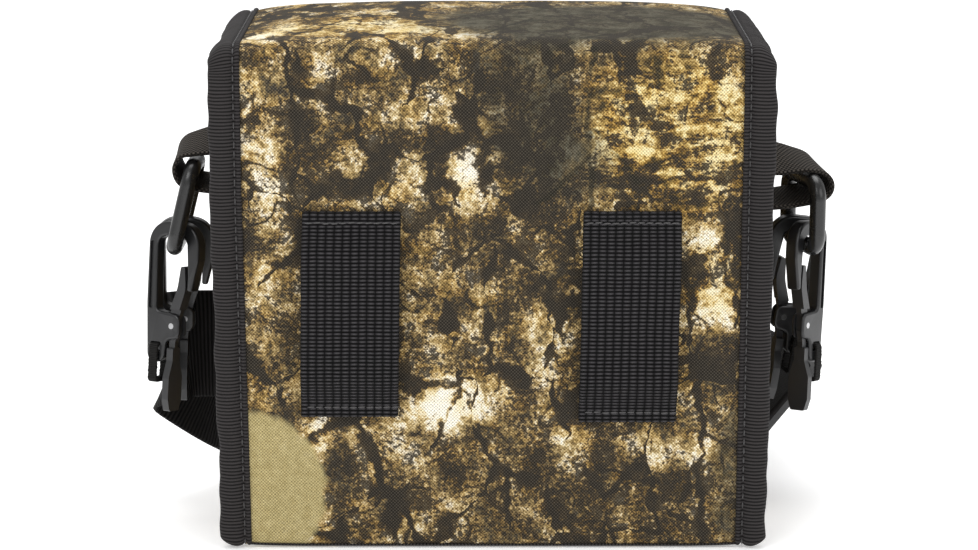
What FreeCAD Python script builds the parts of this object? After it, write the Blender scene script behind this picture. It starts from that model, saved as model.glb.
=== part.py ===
import FreeCAD
import Part
import math
import os

# Binocular harness pack: a soft pack with a flap lid, webbing belt loops on its back,
# an oval ring hung in a webbing tab on each side, two lever snap hooks on each ring,
# and one wide adjustable harness strap that hangs beside the pack and lies in front of it.
# Millimetres. X runs along the pack's width, +Y from its back to its front, +Z up.
# The origin is the centre of the face that the pack stands on.

V = FreeCAD.Vector
doc = FreeCAD.newDocument("binocular_harness_pack")

# ---------------------------------------------------------------- driving dimensions

DIMENSIONS = [
    ("pack_width", 161.0),
    ("pack_depth", 86.0),
    ("pack_height", 168.0),
    ("fabric", 1.2),
    ("foam", 2.6),
    ("lining_thick", 0.8),
    ("layer_gap", 0.1),
    ("binding_width", 11.0),
    ("binding_thick", 3.4),
    ("mouth_drop", 4.4),
    ("lid_gap", 0.4),
    ("lid_thick", 3.4),
    ("flap_length", 112.0),
    ("flap_gap", 1.2),
    ("board_thick", 2.0),
    ("webbing", 1.6),
    ("loop_width", 32.0),
    ("loop_length", 67.0),
    ("loop_offset", 45.5),
    ("loop_bottom", 46.0),
    ("loop_space", 4.6),
    ("tab_width", 16.0),
    ("ring_rod", 5.4),
    ("ring_long", 34.0),
    ("ring_short", 28.0),
    ("ring_corner", 5.6),
    ("hook_thick", 4.6),
    ("pin_radius", 1.0),
    ("strap_width", 38.0),
    ("strap_thick", 1.8),
    ("slider_long", 45.0),
    ("slider_short", 27.0),
    ("slider_thick", 2.6),
    ("slider_bar", 4.6),
    ("patch_width", 60.0),
    ("patch_height", 34.0),
    ("patch_thick", 0.45),
]

sheet = doc.addObject("Spreadsheet::Sheet", "Dimensions")
for row, (alias, value) in enumerate(DIMENSIONS, start=1):
    sheet.set("A%d" % row, alias)
    sheet.set("B%d" % row, str(value))
    sheet.setAlias("B%d" % row, alias)
doc.recompute()


def dim(alias):
    return float(sheet.get(alias))


half_width = dim("pack_width") / 2
back_y = -dim("pack_depth") / 2
front_y = -back_y
strap_half = dim("strap_width") / 2
rod_radius = dim("ring_rod") / 2
nodes = []


def keep(obj, label):
    obj.Label = label
    nodes.append(obj)
    return obj


# ---------------------------------------------------------------- helpers


def box(label, sizes, corner):
    """A Part::Box whose sizes and corner are expressions over the sheet."""
    obj = doc.addObject("Part::Box", label)
    for name, text in zip(("Length", "Width", "Height"), sizes):
        obj.setExpression(name, expand(text))
    for name, text in zip("xyz", corner):
        obj.setExpression("Placement.Base." + name, expand(text))
    return obj


def expand(text):
    """Writes the sheet's name before each alias of an expression."""
    out = []
    word = ""
    for letter in str(text) + " ":
        if letter.isalpha() or letter == "_":
            word += letter
            continue
        if word:
            out.append("Dimensions." + word)
            word = ""
        out.append(letter)
    return "".join(out).strip()


def solid_feature(label, shape, placement=None):
    """A Part::Feature for a shape that neither a body nor a primitive makes."""
    obj = doc.addObject("Part::Feature", label)
    obj.Shape = shape
    if placement is not None:
        obj.Placement = placement.multiply(obj.Placement)
    return keep(obj, label)


def cut(label, base, tools):
    result = base
    for count, tool in enumerate(tools):
        step = doc.addObject("Part::Cut", "%s_cut%d" % (label, count))
        step.Base = result
        step.Tool = tool
        result = step
    return keep(result, label)


def rounded_wire(points):
    """A closed planar wire through (x, y, radius) corners, each rounded by its radius."""
    count = len(points)
    starts = []
    ends = []
    middles = []
    for i in range(count):
        here = V(points[i][0], points[i][1], 0)
        before = V(points[i - 1][0], points[i - 1][1], 0)
        after = V(points[(i + 1) % count][0], points[(i + 1) % count][1], 0)
        radius = points[i][2]
        to_before = (before - here).normalize()
        to_after = (after - here).normalize()
        angle = to_before.getAngle(to_after)
        reach = radius / math.tan(angle / 2)
        bisector = (to_before + to_after).normalize()
        middles.append(here + bisector * (radius / math.sin(angle / 2) - radius))
        starts.append(here + to_before * reach)
        ends.append(here + to_after * reach)
    edges = []
    for i in range(count):
        if points[i][2] > 0:
            edges.append(Part.Arc(starts[i], middles[i], ends[i]).toShape())
        following = starts[(i + 1) % count]
        if (following - ends[i]).Length > 1e-4:
            edges.append(Part.LineSegment(ends[i], following).toShape())
    return Part.Wire(edges)


def plate(points, thickness, holes=()):
    """A flat plate of the outline in XY, centred on Z = 0, with round-cornered holes."""
    face = Part.Face(rounded_wire(points))
    for hole in holes:
        face = face.cut(Part.Face(rounded_wire(hole)))
    solid = face.extrude(V(0, 0, thickness))
    solid.translate(V(0, 0, -thickness / 2))
    return solid


def cylinder_z(x, y, radius, low, high):
    return Part.makeCylinder(radius, high - low, V(x, y, low))


def block(x0, x1, y0, y1, z0, z1):
    return Part.makeBox(x1 - x0, y1 - y0, z1 - z0, V(x0, y0, z0))


def frame_placement(origin, x_axis, y_axis):
    """The placement that takes local X and Y to the given axes."""
    z_axis = x_axis.cross(y_axis)
    rotation = FreeCAD.Rotation(x_axis, y_axis, z_axis, "XYZ")
    return FreeCAD.Placement(origin, rotation)


# ---------------------------------------------------------------- pack body

# Panel stack from outside in: fabric, foam, lining. The body's mouth is below the lid.
MOUTH = "pack_height - mouth_drop"


def back_panel():
    keep(
        box(
            "back_panel",
            ("pack_width - 2 * layer_gap", "fabric", MOUTH),
            ("-pack_width / 2 + layer_gap", "-pack_depth / 2", "0"),
        ),
        "back_panel",
    )


def front_panel():
    keep(
        box(
            "front_panel",
            ("pack_width", "fabric", MOUTH),
            ("-pack_width / 2", "pack_depth / 2 - lid_thick - flap_gap - fabric", "0"),
        ),
        "front_panel",
    )


def foam_pads():
    """Foam behind the back and front fabric, sealed in by the lining."""
    width = "pack_width - 2 * (fabric + 2 * layer_gap)"
    height = "pack_height - mouth_drop - fabric - 3"
    left = "-pack_width / 2 + fabric + 2 * layer_gap"
    keep(
        box(
            "back_foam",
            (width, "foam", height),
            (left, "-pack_depth / 2 + fabric + layer_gap", "fabric + 1"),
        ),
        "back_foam",
    )
    keep(
        box(
            "front_foam",
            (width, "foam", height),
            (left, "pack_depth / 2 - lid_thick - flap_gap - fabric - layer_gap - foam", "fabric + 1"),
        ),
        "front_foam",
    )


def gussets():
    """Side panels between the back and the front, turned out into the bound seam."""
    depth = "pack_depth - lid_thick - flap_gap - 2 * fabric - 2 * layer_gap"
    for side, x in (("left", "-pack_width / 2"), ("right", "pack_width / 2 - fabric")):
        label = "gusset_" + side
        keep(box(label, ("fabric", depth, MOUTH), (x, "-pack_depth / 2 + fabric + layer_gap", "0")), label)


def base():
    """The bottom fabric and the stiff board that keeps it flat."""
    width = "pack_width - 2 * (fabric + layer_gap)"
    depth = "pack_depth - lid_thick - flap_gap - 2 * fabric - 2 * layer_gap"
    left = "-pack_width / 2 + fabric + layer_gap"
    near = "-pack_depth / 2 + fabric + layer_gap"
    keep(box("base_panel", (width, depth, "fabric"), (left, near, "0")), "base_panel")
    inset = "fabric + foam + 2 * layer_gap"
    keep(
        box(
            "base_board",
            (
                "pack_width - 2 * (fabric + 2 * layer_gap)",
                "pack_depth - lid_thick - flap_gap - 2 * (%s) - 2 * layer_gap" % inset,
                "board_thick",
            ),
            ("-pack_width / 2 + fabric + 2 * layer_gap", "-pack_depth / 2 + %s" % inset, "fabric + 0.2"),
        ),
        "base_board",
    )


def lining():
    """A thin open box of brushed fabric inside the foam."""
    side = "fabric + 2 * layer_gap"
    end = "fabric + foam + 2 * layer_gap"
    low = "fabric + board_thick + 0.4"
    depth = "pack_depth - lid_thick - flap_gap - 2 * (%s)" % end
    outer = box(
        "lining_outer",
        ("pack_width - 2 * (%s)" % side, depth, "pack_height - mouth_drop - (%s)" % low),
        ("-pack_width / 2 + %s" % side, "-pack_depth / 2 + %s" % end, low),
    )
    inner = box(
        "lining_inner",
        (
            "pack_width - 2 * (%s + lining_thick)" % side,
            "%s - 2 * lining_thick" % depth,
            "pack_height",
        ),
        (
            "-pack_width / 2 + %s + lining_thick" % side,
            "-pack_depth / 2 + %s + lining_thick" % end,
            "%s + lining_thick" % low,
        ),
    )
    cut("lining", outer, [inner])


def back_bindings():
    """Folded tape over the bound seam along each side of the back panel."""
    for side, x in (("left", "-pack_width / 2 - binding_width"), ("right", "pack_width / 2")):
        label = "back_binding_" + side
        keep(
            box(label, ("binding_width", "binding_thick", MOUTH), (x, "-pack_depth / 2 - 0.8", "0")),
            label,
        )


# ---------------------------------------------------------------- lid

LID_LOW = "pack_height - mouth_drop + lid_gap + fabric / 2"


def lid():
    """Top panel and front flap in one fabric, hinged along the back's top edge."""
    top = box(
        "lid_top",
        ("pack_width - 2 * layer_gap", "pack_depth - 0.4", "lid_thick"),
        ("-pack_width / 2 + layer_gap", "-pack_depth / 2 + 0.4", LID_LOW),
    )
    flap = box(
        "lid_flap",
        ("pack_width - 2 * layer_gap", "lid_thick", "flap_length"),
        ("-pack_width / 2 + layer_gap", "pack_depth / 2 - lid_thick", "%s + 0.5 - flap_length" % LID_LOW),
    )
    fuse = doc.addObject("Part::Fuse", "lid_fuse")
    fuse.Base = top
    fuse.Tool = flap
    fuse.Refine = True
    keep(fuse, "lid_panel")


def lid_bindings():
    """Folded tape along both side edges of the lid, over the top and down the flap."""
    for side, x in (("left", "-pack_width / 2 - binding_width"), ("right", "pack_width / 2")):
        label = "lid_binding_" + side
        top = box(
            label + "_top",
            ("binding_width", "pack_depth - 0.4", "binding_thick"),
            (x, "-pack_depth / 2 + 0.4", LID_LOW),
        )
        down = box(
            label + "_down",
            ("binding_width", "binding_thick", "flap_length"),
            (x, "pack_depth / 2 - binding_thick", "%s + 0.5 - flap_length" % LID_LOW),
        )
        fuse = doc.addObject("Part::Fuse", label + "_fuse")
        fuse.Base = top
        fuse.Tool = down
        fuse.Refine = True
        keep(fuse, label)


def flap_hem():
    """Tape over the flap's lower edge."""
    keep(
        box(
            "flap_hem",
            ("pack_width + 2 * binding_width", "lid_thick", "9"),
            (
                "-pack_width / 2 - binding_width",
                "pack_depth / 2 - lid_thick",
                "%s + 0.4 - flap_length - 9" % LID_LOW,
            ),
        ),
        "flap_hem",
    )


def closure():
    """Hook-and-loop patches between the flap and the front panel, and the pull tab."""
    flap_inner = "pack_depth / 2 - lid_thick"
    low = "%s - flap_length + 4" % LID_LOW
    keep(
        box(
            "closure_hook_patch",
            ("patch_width", "patch_thick", "patch_height"),
            ("-patch_width / 2", "%s - patch_thick" % flap_inner, low),
        ),
        "closure_hook_patch",
    )
    keep(
        box(
            "closure_loop_patch",
            ("patch_width", "patch_thick", "patch_height"),
            ("-patch_width / 2", "%s - flap_gap" % flap_inner, low),
        ),
        "closure_loop_patch",
    )
    keep(
        box(
            "pull_tab",
            ("25", "2 * webbing", "24"),
            ("-12.5", "pack_depth / 2 + 0.1", "%s - flap_length - 8" % LID_LOW),
        ),
        "pull_tab",
    )


# ---------------------------------------------------------------- webbing on the pack


def belt_loop(side, sign):
    """A vertical webbing loop sewn at both ends, bowed out so that a belt goes behind it."""
    low = dim("loop_bottom")
    high = low + dim("loop_length")
    thick = dim("webbing")
    space = dim("loop_space")
    sewn = 5.0
    slope = 7.0
    inner = [
        (0, low),
        (0, low + sewn),
        (-space, low + sewn + slope),
        (-space, high - sewn - slope),
        (0, high - sewn),
        (0, high),
    ]
    outline = [V(0, y, z) for y, z in inner]
    outline += [V(0, y - thick, z) for y, z in reversed(inner)]
    outline.append(outline[0])
    face = Part.Face(Part.makePolygon(outline))
    width = dim("loop_width")
    solid = face.extrude(V(width, 0, 0))
    x = sign * dim("loop_offset") - width / 2
    place = FreeCAD.Placement(V(x, back_y - 0.1, 0), FreeCAD.Rotation())
    solid_feature("belt_loop_" + side, solid, place)


# Each side's ring: the middle of its top rod, the direction of that rod from near to far,
# its lean out from straight down, and whether it hangs with its long side up.
SIDES = {
    "left": {"sign": -1, "pivot": V(-100.3, 0, 121.7), "yaw": 0.0, "lean": 14.0, "upright": True},
    "right": {"sign": 1, "pivot": V(105.5, 0, 117.0), "yaw": 14.0, "lean": 0.0, "upright": False},
}


def side_axes(side):
    """Unit vectors of a side: along the ring's rod, and outward from the pack."""
    data = SIDES[side]
    turn = math.radians(data["yaw"]) * data["sign"]
    along = V(-math.sin(turn), math.cos(turn), 0)
    outward = V(math.cos(turn), math.sin(turn), 0) * data["sign"]
    return along, outward


def ring_height(side):
    return dim("ring_long") if SIDES[side]["upright"] else dim("ring_short")


def ring_depth(side):
    return dim("ring_short") if SIDES[side]["upright"] else dim("ring_long")


def ring_bottom(side):
    """The middle of the ring's bottom rod."""
    data = SIDES[side]
    outward = side_axes(side)[1]
    lean = math.radians(data["lean"])
    drop = ring_height(side) - 2 * rod_radius
    return data["pivot"] + outward * (drop * math.sin(lean)) + V(0, 0, -drop * math.cos(lean))


def ring(side):
    """A closed oval ring of round rod, swept round a rounded rectangle."""
    half_deep = ring_depth(side) / 2 - rod_radius
    drop = ring_height(side) - 2 * rod_radius
    corner = dim("ring_corner")
    path = rounded_wire(
        [
            (-half_deep, 0, corner),
            (half_deep, 0, corner),
            (half_deep, -drop, corner),
            (-half_deep, -drop, corner),
        ]
    )
    start = path.OrderedEdges[1]
    point = start.valueAt(start.FirstParameter)
    section = Part.Wire(Part.makeCircle(rod_radius, point, start.tangentAt(start.FirstParameter)))
    solid = path.makePipeShell([section], True, False)
    along = side_axes(side)[0]
    bottom = ring_bottom(side)
    up = (SIDES[side]["pivot"] - bottom).normalize()
    solid_feature("ring_" + side, solid, frame_placement(SIDES[side]["pivot"], along, up))


def side_tab(side):
    """Webbing folded round the ring's top rod, with both ends sewn to the gusset."""
    data = SIDES[side]
    along, outward = side_axes(side)
    pivot = data["pivot"]
    thick = dim("webbing")
    inner = rod_radius + 1.3
    reach = abs(pivot.x) - half_width
    rise = 11.0
    outer_points = [
        (-reach - 6, rise + thick, 0.0),
        (-6, inner + thick + 1.2, 5.0),
        (inner + thick, inner + thick - 0.4, 3.9),
        (inner + thick, -inner - thick, 4.1),
        (-9, -inner - thick - 0.3, 4.0),
        (-reach - 6, -rise - thick, 0.0),
    ]
    inner_points = [
        (-reach - 8, rise + 0.4, 0.0),
        (-6, inner + 1.2, 3.6),
        (inner, inner - 0.4, 2.8),
        (inner, -inner, 3.0),
        (-9, -inner - 0.3, 3.0),
        (-reach - 8, -rise - 0.4, 0.0),
    ]
    width = dim("tab_width")
    solid = plate(outer_points, width).cut(plate(inner_points, width + 2))
    placed = solid.transformed(frame_placement(pivot, outward, V(0, 0, 1)).toMatrix(), True)
    sign = data["sign"]
    keep_out = block(-half_width - 0.1, half_width + 0.1, -60, 60, 60, 180)
    trimmed = placed.cut(keep_out)
    largest = max(trimmed.Solids, key=lambda piece: piece.Volume * sign * piece.CenterOfMass.x)
    solid_feature("side_tab_" + side, largest)


# ---------------------------------------------------------------- lever snap hooks

# A hook's own frame: X towards its gate, Y up, Z across its thickness. The origin is the
# centre of the rod that it hangs on.
GATE_PIVOT = (2.6, -27.5)
ROD_CLEAR = 0.35
HOOK_OUTLINE = [
    (-7.1, -40.2, 3.1),
    (-8.2, -20.0, 30.0),
    (-8.2, 8.0, 8.0),
    (12.6, 8.0, 8.2),
    (12.7, -4.6, 4.0),
    (10.3, -15.2, 0.8),
    (8.3, -15.2, 0.8),
    (8.4, -10.4, 1.2),
    (7.4, 3.0, 3.2),
    (-4.4, 3.0, 3.4),
    (-3.9, -22.6, 2.0),
    (5.9, -23.6, 2.6),
    (6.0, -31.6, 2.6),
    (0.6, -32.4, 2.0),
    (-0.2, -40.2, 3.1),
]
TAPE_MIDDLE = -3.55
TAPE_SLOT = [(-5.7, -36.6, 0.6), (-1.4, -36.6, 0.6), (-1.4, -33.2, 0.6), (-5.7, -33.2, 0.6)]
GROOVE = [(-7.0, -22.0, 0.6), (-7.2, 1.0, 0.6), (-5.6, 1.0, 0.6), (-5.4, -22.0, 0.6)]
FORK_HALF = 1.35
GATE_OUTLINE = [
    (0.4, -28.6, 1.6),
    (1.0, -23.6, 2.0),
    (4.5, -14.5, 14.0),
    (5.6, -6.9, 0.8),
    (7.2, -6.9, 0.7),
    (7.9, -14.6, 10.0),
    (5.0, -24.0, 3.0),
    (4.9, -29.4, 1.6),
    (3.7, -33.0, 1.0),
    (3.6, -38.4, 0.4),
    (1.4, -38.4, 0.4),
    (1.3, -33.0, 1.0),
]
PADDLE_OUTLINE = [
    (-2.0, -35.0, 0.5),
    (-2.0, -39.5, 2.0),
    (-3.8, -45.0, 3.0),
    (-3.8, -52.5, 1.5),
    (-2.6, -56.5, 0.8),
    (2.6, -56.5, 0.8),
    (3.8, -52.5, 1.5),
    (3.8, -45.0, 3.0),
    (2.0, -39.5, 2.0),
    (2.0, -35.0, 0.5),
]
PADDLE_FACES = (1.1, 3.7)
GATE_HALF = 2.1
LEVER_HALF = 1.0


def soften(solid, radius, chosen):
    """Rounds the chosen edges, and keeps the sharp solid if the kernel can't."""
    edges = [edge for edge in solid.Edges if chosen(edge)]
    try:
        rounded = solid.makeFillet(radius, edges)
    except Part.OCCError:
        return solid
    return rounded if rounded.isValid() and rounded.Volume > 0 else solid


def hook_body_shape():
    thick = dim("hook_thick")
    half = thick / 2
    solid = plate(HOOK_OUTLINE, thick)
    solid = soften(solid, 0.9, lambda edge: abs(abs(edge.CenterOfMass.z) - half) < 1e-6)
    solid = solid.cut(plate(TAPE_SLOT, thick + 2))
    for face in (half, -half):
        groove = plate(GROOVE, 1.4)
        groove.translate(V(0, 0, face))
        solid = solid.cut(groove)
    x, y = GATE_PIVOT
    solid = solid.cut(block(-0.6, 8.0, -33.5, -22.0, -FORK_HALF, FORK_HALF))
    return solid.cut(cylinder_z(x, y, dim("pin_radius"), -thick, thick))


def gate_shape():
    """The gate's leaf, its barrel on the pin, and the thumb lever below."""
    x, y = GATE_PIVOT
    leaf = plate(GATE_OUTLINE, 2 * GATE_HALF)
    slim = block(-1, 9, -39, -21.8, LEVER_HALF, 6).fuse(block(-1, 9, -39, -21.8, -6, -LEVER_HALF))
    leaf = leaf.cut(slim)
    paddle = plate(PADDLE_OUTLINE, PADDLE_FACES[1] - PADDLE_FACES[0])
    paddle.translate(V(0, 0, (PADDLE_FACES[0] + PADDLE_FACES[1]) / 2))
    face = FreeCAD.Placement(V(0, 0, 0), FreeCAD.Rotation(V(0, 1, 0), 90))
    paddle = paddle.transformed(face.toMatrix(), True)
    solid = leaf.fuse(paddle).removeSplitter()
    solid = solid.cut(cylinder_z(x, y, dim("pin_radius") + 0.06, -6, 6))
    return solid.cut(cylinder_z(x, y, 1.85, 0.0, 6))


def pin_shape():
    x, y = GATE_PIVOT
    half = dim("hook_thick") / 2
    return cylinder_z(x, y, dim("pin_radius"), -half, half)


def spring_shape():
    """The torsion spring's coil, seated in the gate's barrel round the pin."""
    x, y = GATE_PIVOT
    coil = cylinder_z(x, y, 1.75, 0.1, LEVER_HALF)
    return coil.cut(cylinder_z(x, y, dim("pin_radius") + 0.15, 0, 2))


def tape_shape():
    """A narrow tape loop through the hook's slot, sewn to the harness strap below."""
    outer = [(-3.7, -47.0, 1.4), (3.7, -47.0, 1.4), (3.7, -33.6, 1.6), (-3.7, -33.6, 1.6)]
    inner = [(-2.8, -45.4, 0.6), (2.8, -45.4, 0.6), (2.8, -34.5, 0.8), (-2.8, -34.5, 0.8)]
    width = 3.6
    solid = plate(outer, width, [inner])
    crosswise = FreeCAD.Placement(V(TAPE_MIDDLE, 0, 0), FreeCAD.Rotation(V(0, 1, 0), 90))
    return solid.transformed(crosswise.toMatrix(), True)


# Which hook, on which side, how far along the ring's bottom rod, its turn about the
# vertical towards the pack's back, its lean out from straight down, its sideways shift,
# and how far its foot is splayed towards the pack's back.
HOOKS = [
    ("left_inner", "left", 5.3, 0.0, 2.0, 0.0, -1.5),
    ("left_outer", "left", -4.3, 30.0, 3.0, 1.4, 7.0),
    ("right_inner", "right", 5.6, 0.0, -9.0, 2.4, -1.0),
    ("right_outer", "right", -5.2, 40.0, -4.0, 1.7, 7.0),
]


def rod_rise(side, offset):
    """How far the ring's bottom rod has curved up, at an offset from its middle."""
    corner = dim("ring_corner")
    straight = ring_depth(side) / 2 - rod_radius - corner
    past = max(0.0, abs(offset) - straight)
    return corner - math.sqrt(corner * corner - past * past)


def hook_placement(side, offset, turn, lean, shift, splay):
    """Turns a hook's own frame onto its ring."""
    along, outward = side_axes(side)
    swing = math.radians(turn)
    gateward = outward * -math.cos(swing) + along * -math.sin(swing)
    upright = frame_placement(V(0, 0, 0), gateward, V(0, 0, 1))
    tilt_axis = V(0, 0, -1).cross(outward)
    tilt = FreeCAD.Placement(V(0, 0, 0), FreeCAD.Rotation(tilt_axis, lean))
    splay_axis = V(0, 0, 1).cross(along)
    splayed = FreeCAD.Placement(V(0, 0, 0), FreeCAD.Rotation(splay_axis, splay))
    move = ring_bottom(side) + along * offset + V(0, 0, rod_rise(side, offset) + 0.4)
    sideways = gateward * -shift
    place = FreeCAD.Placement(move, FreeCAD.Rotation())
    slid = FreeCAD.Placement(sideways, FreeCAD.Rotation())
    return place.multiply(splayed).multiply(tilt).multiply(slid).multiply(upright)


def snap_hooks():
    shapes = {
        "hook_body_": hook_body_shape(),
        "gate_": gate_shape(),
        "gate_pin_": pin_shape(),
        "gate_spring_": spring_shape(),
        "hook_tape_": tape_shape(),
    }
    for name, side, offset, turn, lean, shift, splay in HOOKS:
        place = hook_placement(side, offset, turn, lean, shift, splay)
        for prefix, shape in shapes.items():
            solid_feature(prefix + name, shape.copy(), place)
        pivot = place.multVec(V(GATE_PIVOT[0], GATE_PIVOT[1], 0))
        rod = ring_bottom(side) + side_axes(side)[0] * offset
        turn_axis = place.Rotation.multVec(V(0, 0, 1))
        for word, vector in (("rod", rod), ("pivot", pivot), ("axis", turn_axis)):
            print("hook", name, word, *[round(c, 4) for c in vector])


# ---------------------------------------------------------------- harness strap

# The strap's middle line, standing on edge. It starts sewn behind the left hooks, turns
# back on itself beside the pack, goes round to the front, lies there in open folds on the
# floor, and comes up on the right towards the slider and the right hooks.
FLOOR_LINE = strap_half + 0.3
STRAP_ROUTE = [
    V(-87, 14.0, 50),
    V(-100, 14.0, 57),
    V(-114, 14.5, 60),
    V(-115, 27.0, 54),
    V(-102, 30.0, 44),
    V(-96, 42.0, 36),
    V(-95, 60.0, 28),
    V(-82, 73.0, 21),
    V(-52, 77.0, FLOOR_LINE),
    V(0, 73.0, FLOOR_LINE),
    V(50, 76.0, FLOOR_LINE),
    V(77, 79.0, FLOOR_LINE),
    V(78, 93.0, FLOOR_LINE),
    V(50, 93.0, FLOOR_LINE),
    V(0, 89.0, FLOOR_LINE),
    V(-48, 92.0, FLOOR_LINE),
    V(-74, 95.0, FLOOR_LINE),
    V(-75, 109.0, FLOOR_LINE),
    V(-48, 110.0, FLOOR_LINE),
    V(0, 105.0, FLOOR_LINE),
    V(46, 108.0, FLOOR_LINE),
    V(70, 110.0, FLOOR_LINE),
    V(72, 125.0, FLOOR_LINE),
    V(46, 125.0, FLOOR_LINE),
    V(0, 121.0, FLOOR_LINE),
    V(-48, 124.0, FLOOR_LINE),
    V(-70, 126.0, FLOOR_LINE),
    V(-71, 141.0, FLOOR_LINE),
    V(-44, 141.0, FLOOR_LINE),
    V(2, 137.0, FLOOR_LINE),
    V(52, 140.0, FLOOR_LINE),
    V(84, 133.0, FLOOR_LINE),
    V(98, 112.0, 21),
    V(98, 84.0, 26),
    V(97.5, 59.0, 31),
]


def route_wire(points, report):
    """Straight runs joined by tangent arcs as large as their runs allow."""
    edges = []
    last = points[0]
    radii = []
    for before, here, after in zip(points, points[1:], points[2:]):
        run_in = here - before
        run_out = after - here
        turn = run_in.getAngle(run_out)
        reach = 0.45 * min(run_in.Length, run_out.Length)
        radius = reach / math.tan(turn / 2)
        start = here - V(run_in).normalize() * reach
        end = here + V(run_out).normalize() * reach
        bisector = (V(run_out).normalize() - V(run_in).normalize()).normalize()
        middle = here + bisector * (radius / math.cos(turn / 2) - radius)
        edges.append(Part.LineSegment(last, start).toShape())
        edges.append(Part.Arc(start, middle, end).toShape())
        radii.append(round(radius, 1))
        last = end
    edges.append(Part.LineSegment(last, points[-1]).toShape())
    wire = Part.Wire(edges)
    print(report, "length", round(wire.Length, 1), "radii", radii)
    return wire


def ribbon(points, report):
    """A webbing ribbon on edge, its width upright all along the route."""
    wire = route_wire(points, report)
    first = points[0]
    run = V(points[1] - points[0])
    run.z = 0
    run.normalize()
    side = run.cross(V(0, 0, 1))
    thick = side * (dim("strap_thick") / 2)
    high = V(0, 0, strap_half)
    corners = [first + thick + high, first - thick + high, first - thick - high, first + thick - high]
    section = Part.makePolygon(corners + [corners[0]])
    sweep = Part.BRepOffsetAPI.MakePipeShell(wire)
    sweep.setBiNormalMode(V(0, 0, 1))
    sweep.add(section)
    sweep.build()
    sweep.makeSolid()
    solid = sweep.shape()
    expected = dim("strap_width") * dim("strap_thick") * wire.Length
    print(report, "volume share", round(solid.Volume / expected, 3), "valid", solid.isValid())
    return solid


def harness_strap():
    solid_feature("harness_strap", ribbon(STRAP_ROUTE, "strap"))


# The slider and the strap's doubled end lie in one leaning plane beside the right gusset.
SLIDER_CENTRE = V(100.0, 27.0, 31.0)
SLIDER_ACROSS = V(0.626, 0.0, 0.78)
SLIDER_ALONG = V(-0.06, 0.99, 0.0)


def slider_axes():
    """Unit vectors of the slider: across the strap, and along it from near to far."""
    across = V(SLIDER_ACROSS).normalize()
    along = V(SLIDER_ALONG)
    along = (along - across * along.dot(across)).normalize()
    return across, along


def strap_end():
    """The strap's last stretch, from its fold at the right hooks past the slider."""
    across, along = slider_axes()
    thick = dim("strap_thick")
    near = -15.0
    far = 31.0
    solid = block(-strap_half, strap_half, near, far, -thick / 2, thick / 2)
    inward = across.cross(along)
    offset = (dim("slider_thick") + thick) / 2 + 0.4
    if inward.x > 0:
        offset = -offset
    centre = SLIDER_CENTRE + inward * offset
    solid_feature("strap_end", solid, frame_placement(centre, across, along))


def slider():
    """A tri-glide: a flat plate with two webbing slots and a bar between them."""
    body = doc.addObject("PartDesign::Body", "slider")
    sketch = body.newObject("Sketcher::SketchObject", "slider_outline")
    plane = [f for f in body.Origin.OriginFeatures if f.Role == "XY_Plane"][0]
    sketch.AttachmentSupport = [(plane, "")]
    sketch.MapMode = "FlatFace"
    long_half = dim("slider_long") / 2
    short_half = dim("slider_short") / 2
    corner = 3.5
    rounded_rectangle(sketch, 0, long_half, short_half, corner)
    slot_half_long = dim("strap_width") / 2 + 0.6
    bar = dim("slider_bar")
    slot_half = (short_half - bar / 2 - 3.4) / 2
    for sign in (1, -1):
        rounded_rectangle(sketch, sign * (bar / 2 + slot_half), slot_half_long, slot_half, 1.2)
    doc.recompute()
    pad = body.newObject("PartDesign::Pad", "slider_pad")
    pad.Profile = sketch
    pad.setExpression("Length", "Dimensions.slider_thick")
    pad.Midplane = True
    doc.recompute()
    across, along = slider_axes()
    body.Placement = frame_placement(SLIDER_CENTRE, across, along)
    print("slider axis", [round(c, 4) for c in along])
    keep(body, "slider")


def rounded_rectangle(sketch, middle, half_x, half_y, corner):
    """Adds a rounded rectangle to a sketch, centred at (0, middle)."""
    wire = rounded_wire(
        [
            (-half_x, middle - half_y, corner),
            (half_x, middle - half_y, corner),
            (half_x, middle + half_y, corner),
            (-half_x, middle + half_y, corner),
        ]
    )
    for edge in wire.Edges:
        curve = edge.Curve
        if isinstance(curve, Part.Circle):
            sketch.addGeometry(Part.ArcOfCircle(curve, edge.FirstParameter, edge.LastParameter), False)
        else:
            ends = (edge.valueAt(edge.FirstParameter), edge.valueAt(edge.LastParameter))
            sketch.addGeometry(Part.LineSegment(*ends), False)


def strap_tie():
    """A hook-and-loop band round the strap's folds in front of the pack."""
    outer = block(-9, 9, 69.0, 141.4, 0.05, dim("strap_width") + 1.9)
    inner = block(-10, 10, 69.8, 140.6, 0.25, dim("strap_width") + 1.1)
    solid_feature("strap_tie", outer.cut(inner))


# ---------------------------------------------------------------- build and write

back_panel()
front_panel()
foam_pads()
gussets()
base()
lining()
back_bindings()
lid()
lid_bindings()
flap_hem()
closure()
for side_name, side_sign in (("left", -1), ("right", 1)):
    belt_loop(side_name, side_sign)
    ring(side_name)
    side_tab(side_name)
snap_hooks()
harness_strap()
strap_end()
strap_tie()
slider()
doc.recompute()

for obj in doc.Objects:
    if "Invalid" in obj.State or "Error" in obj.State:
        raise RuntimeError("%s failed: %s" % (obj.Label, obj.State))
for node in nodes:
    if node.Shape.isNull() or not node.Shape.isValid() or not node.Shape.Solids:
        raise RuntimeError("%s has no valid solid" % node.Label)

os.makedirs("parts", exist_ok=True)
for node in nodes:
    node.Shape.exportStep("parts/%s.step" % node.Label)
print(len(nodes), "nodes written")
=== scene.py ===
import math

import bpy
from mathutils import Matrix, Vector, noise


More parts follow.
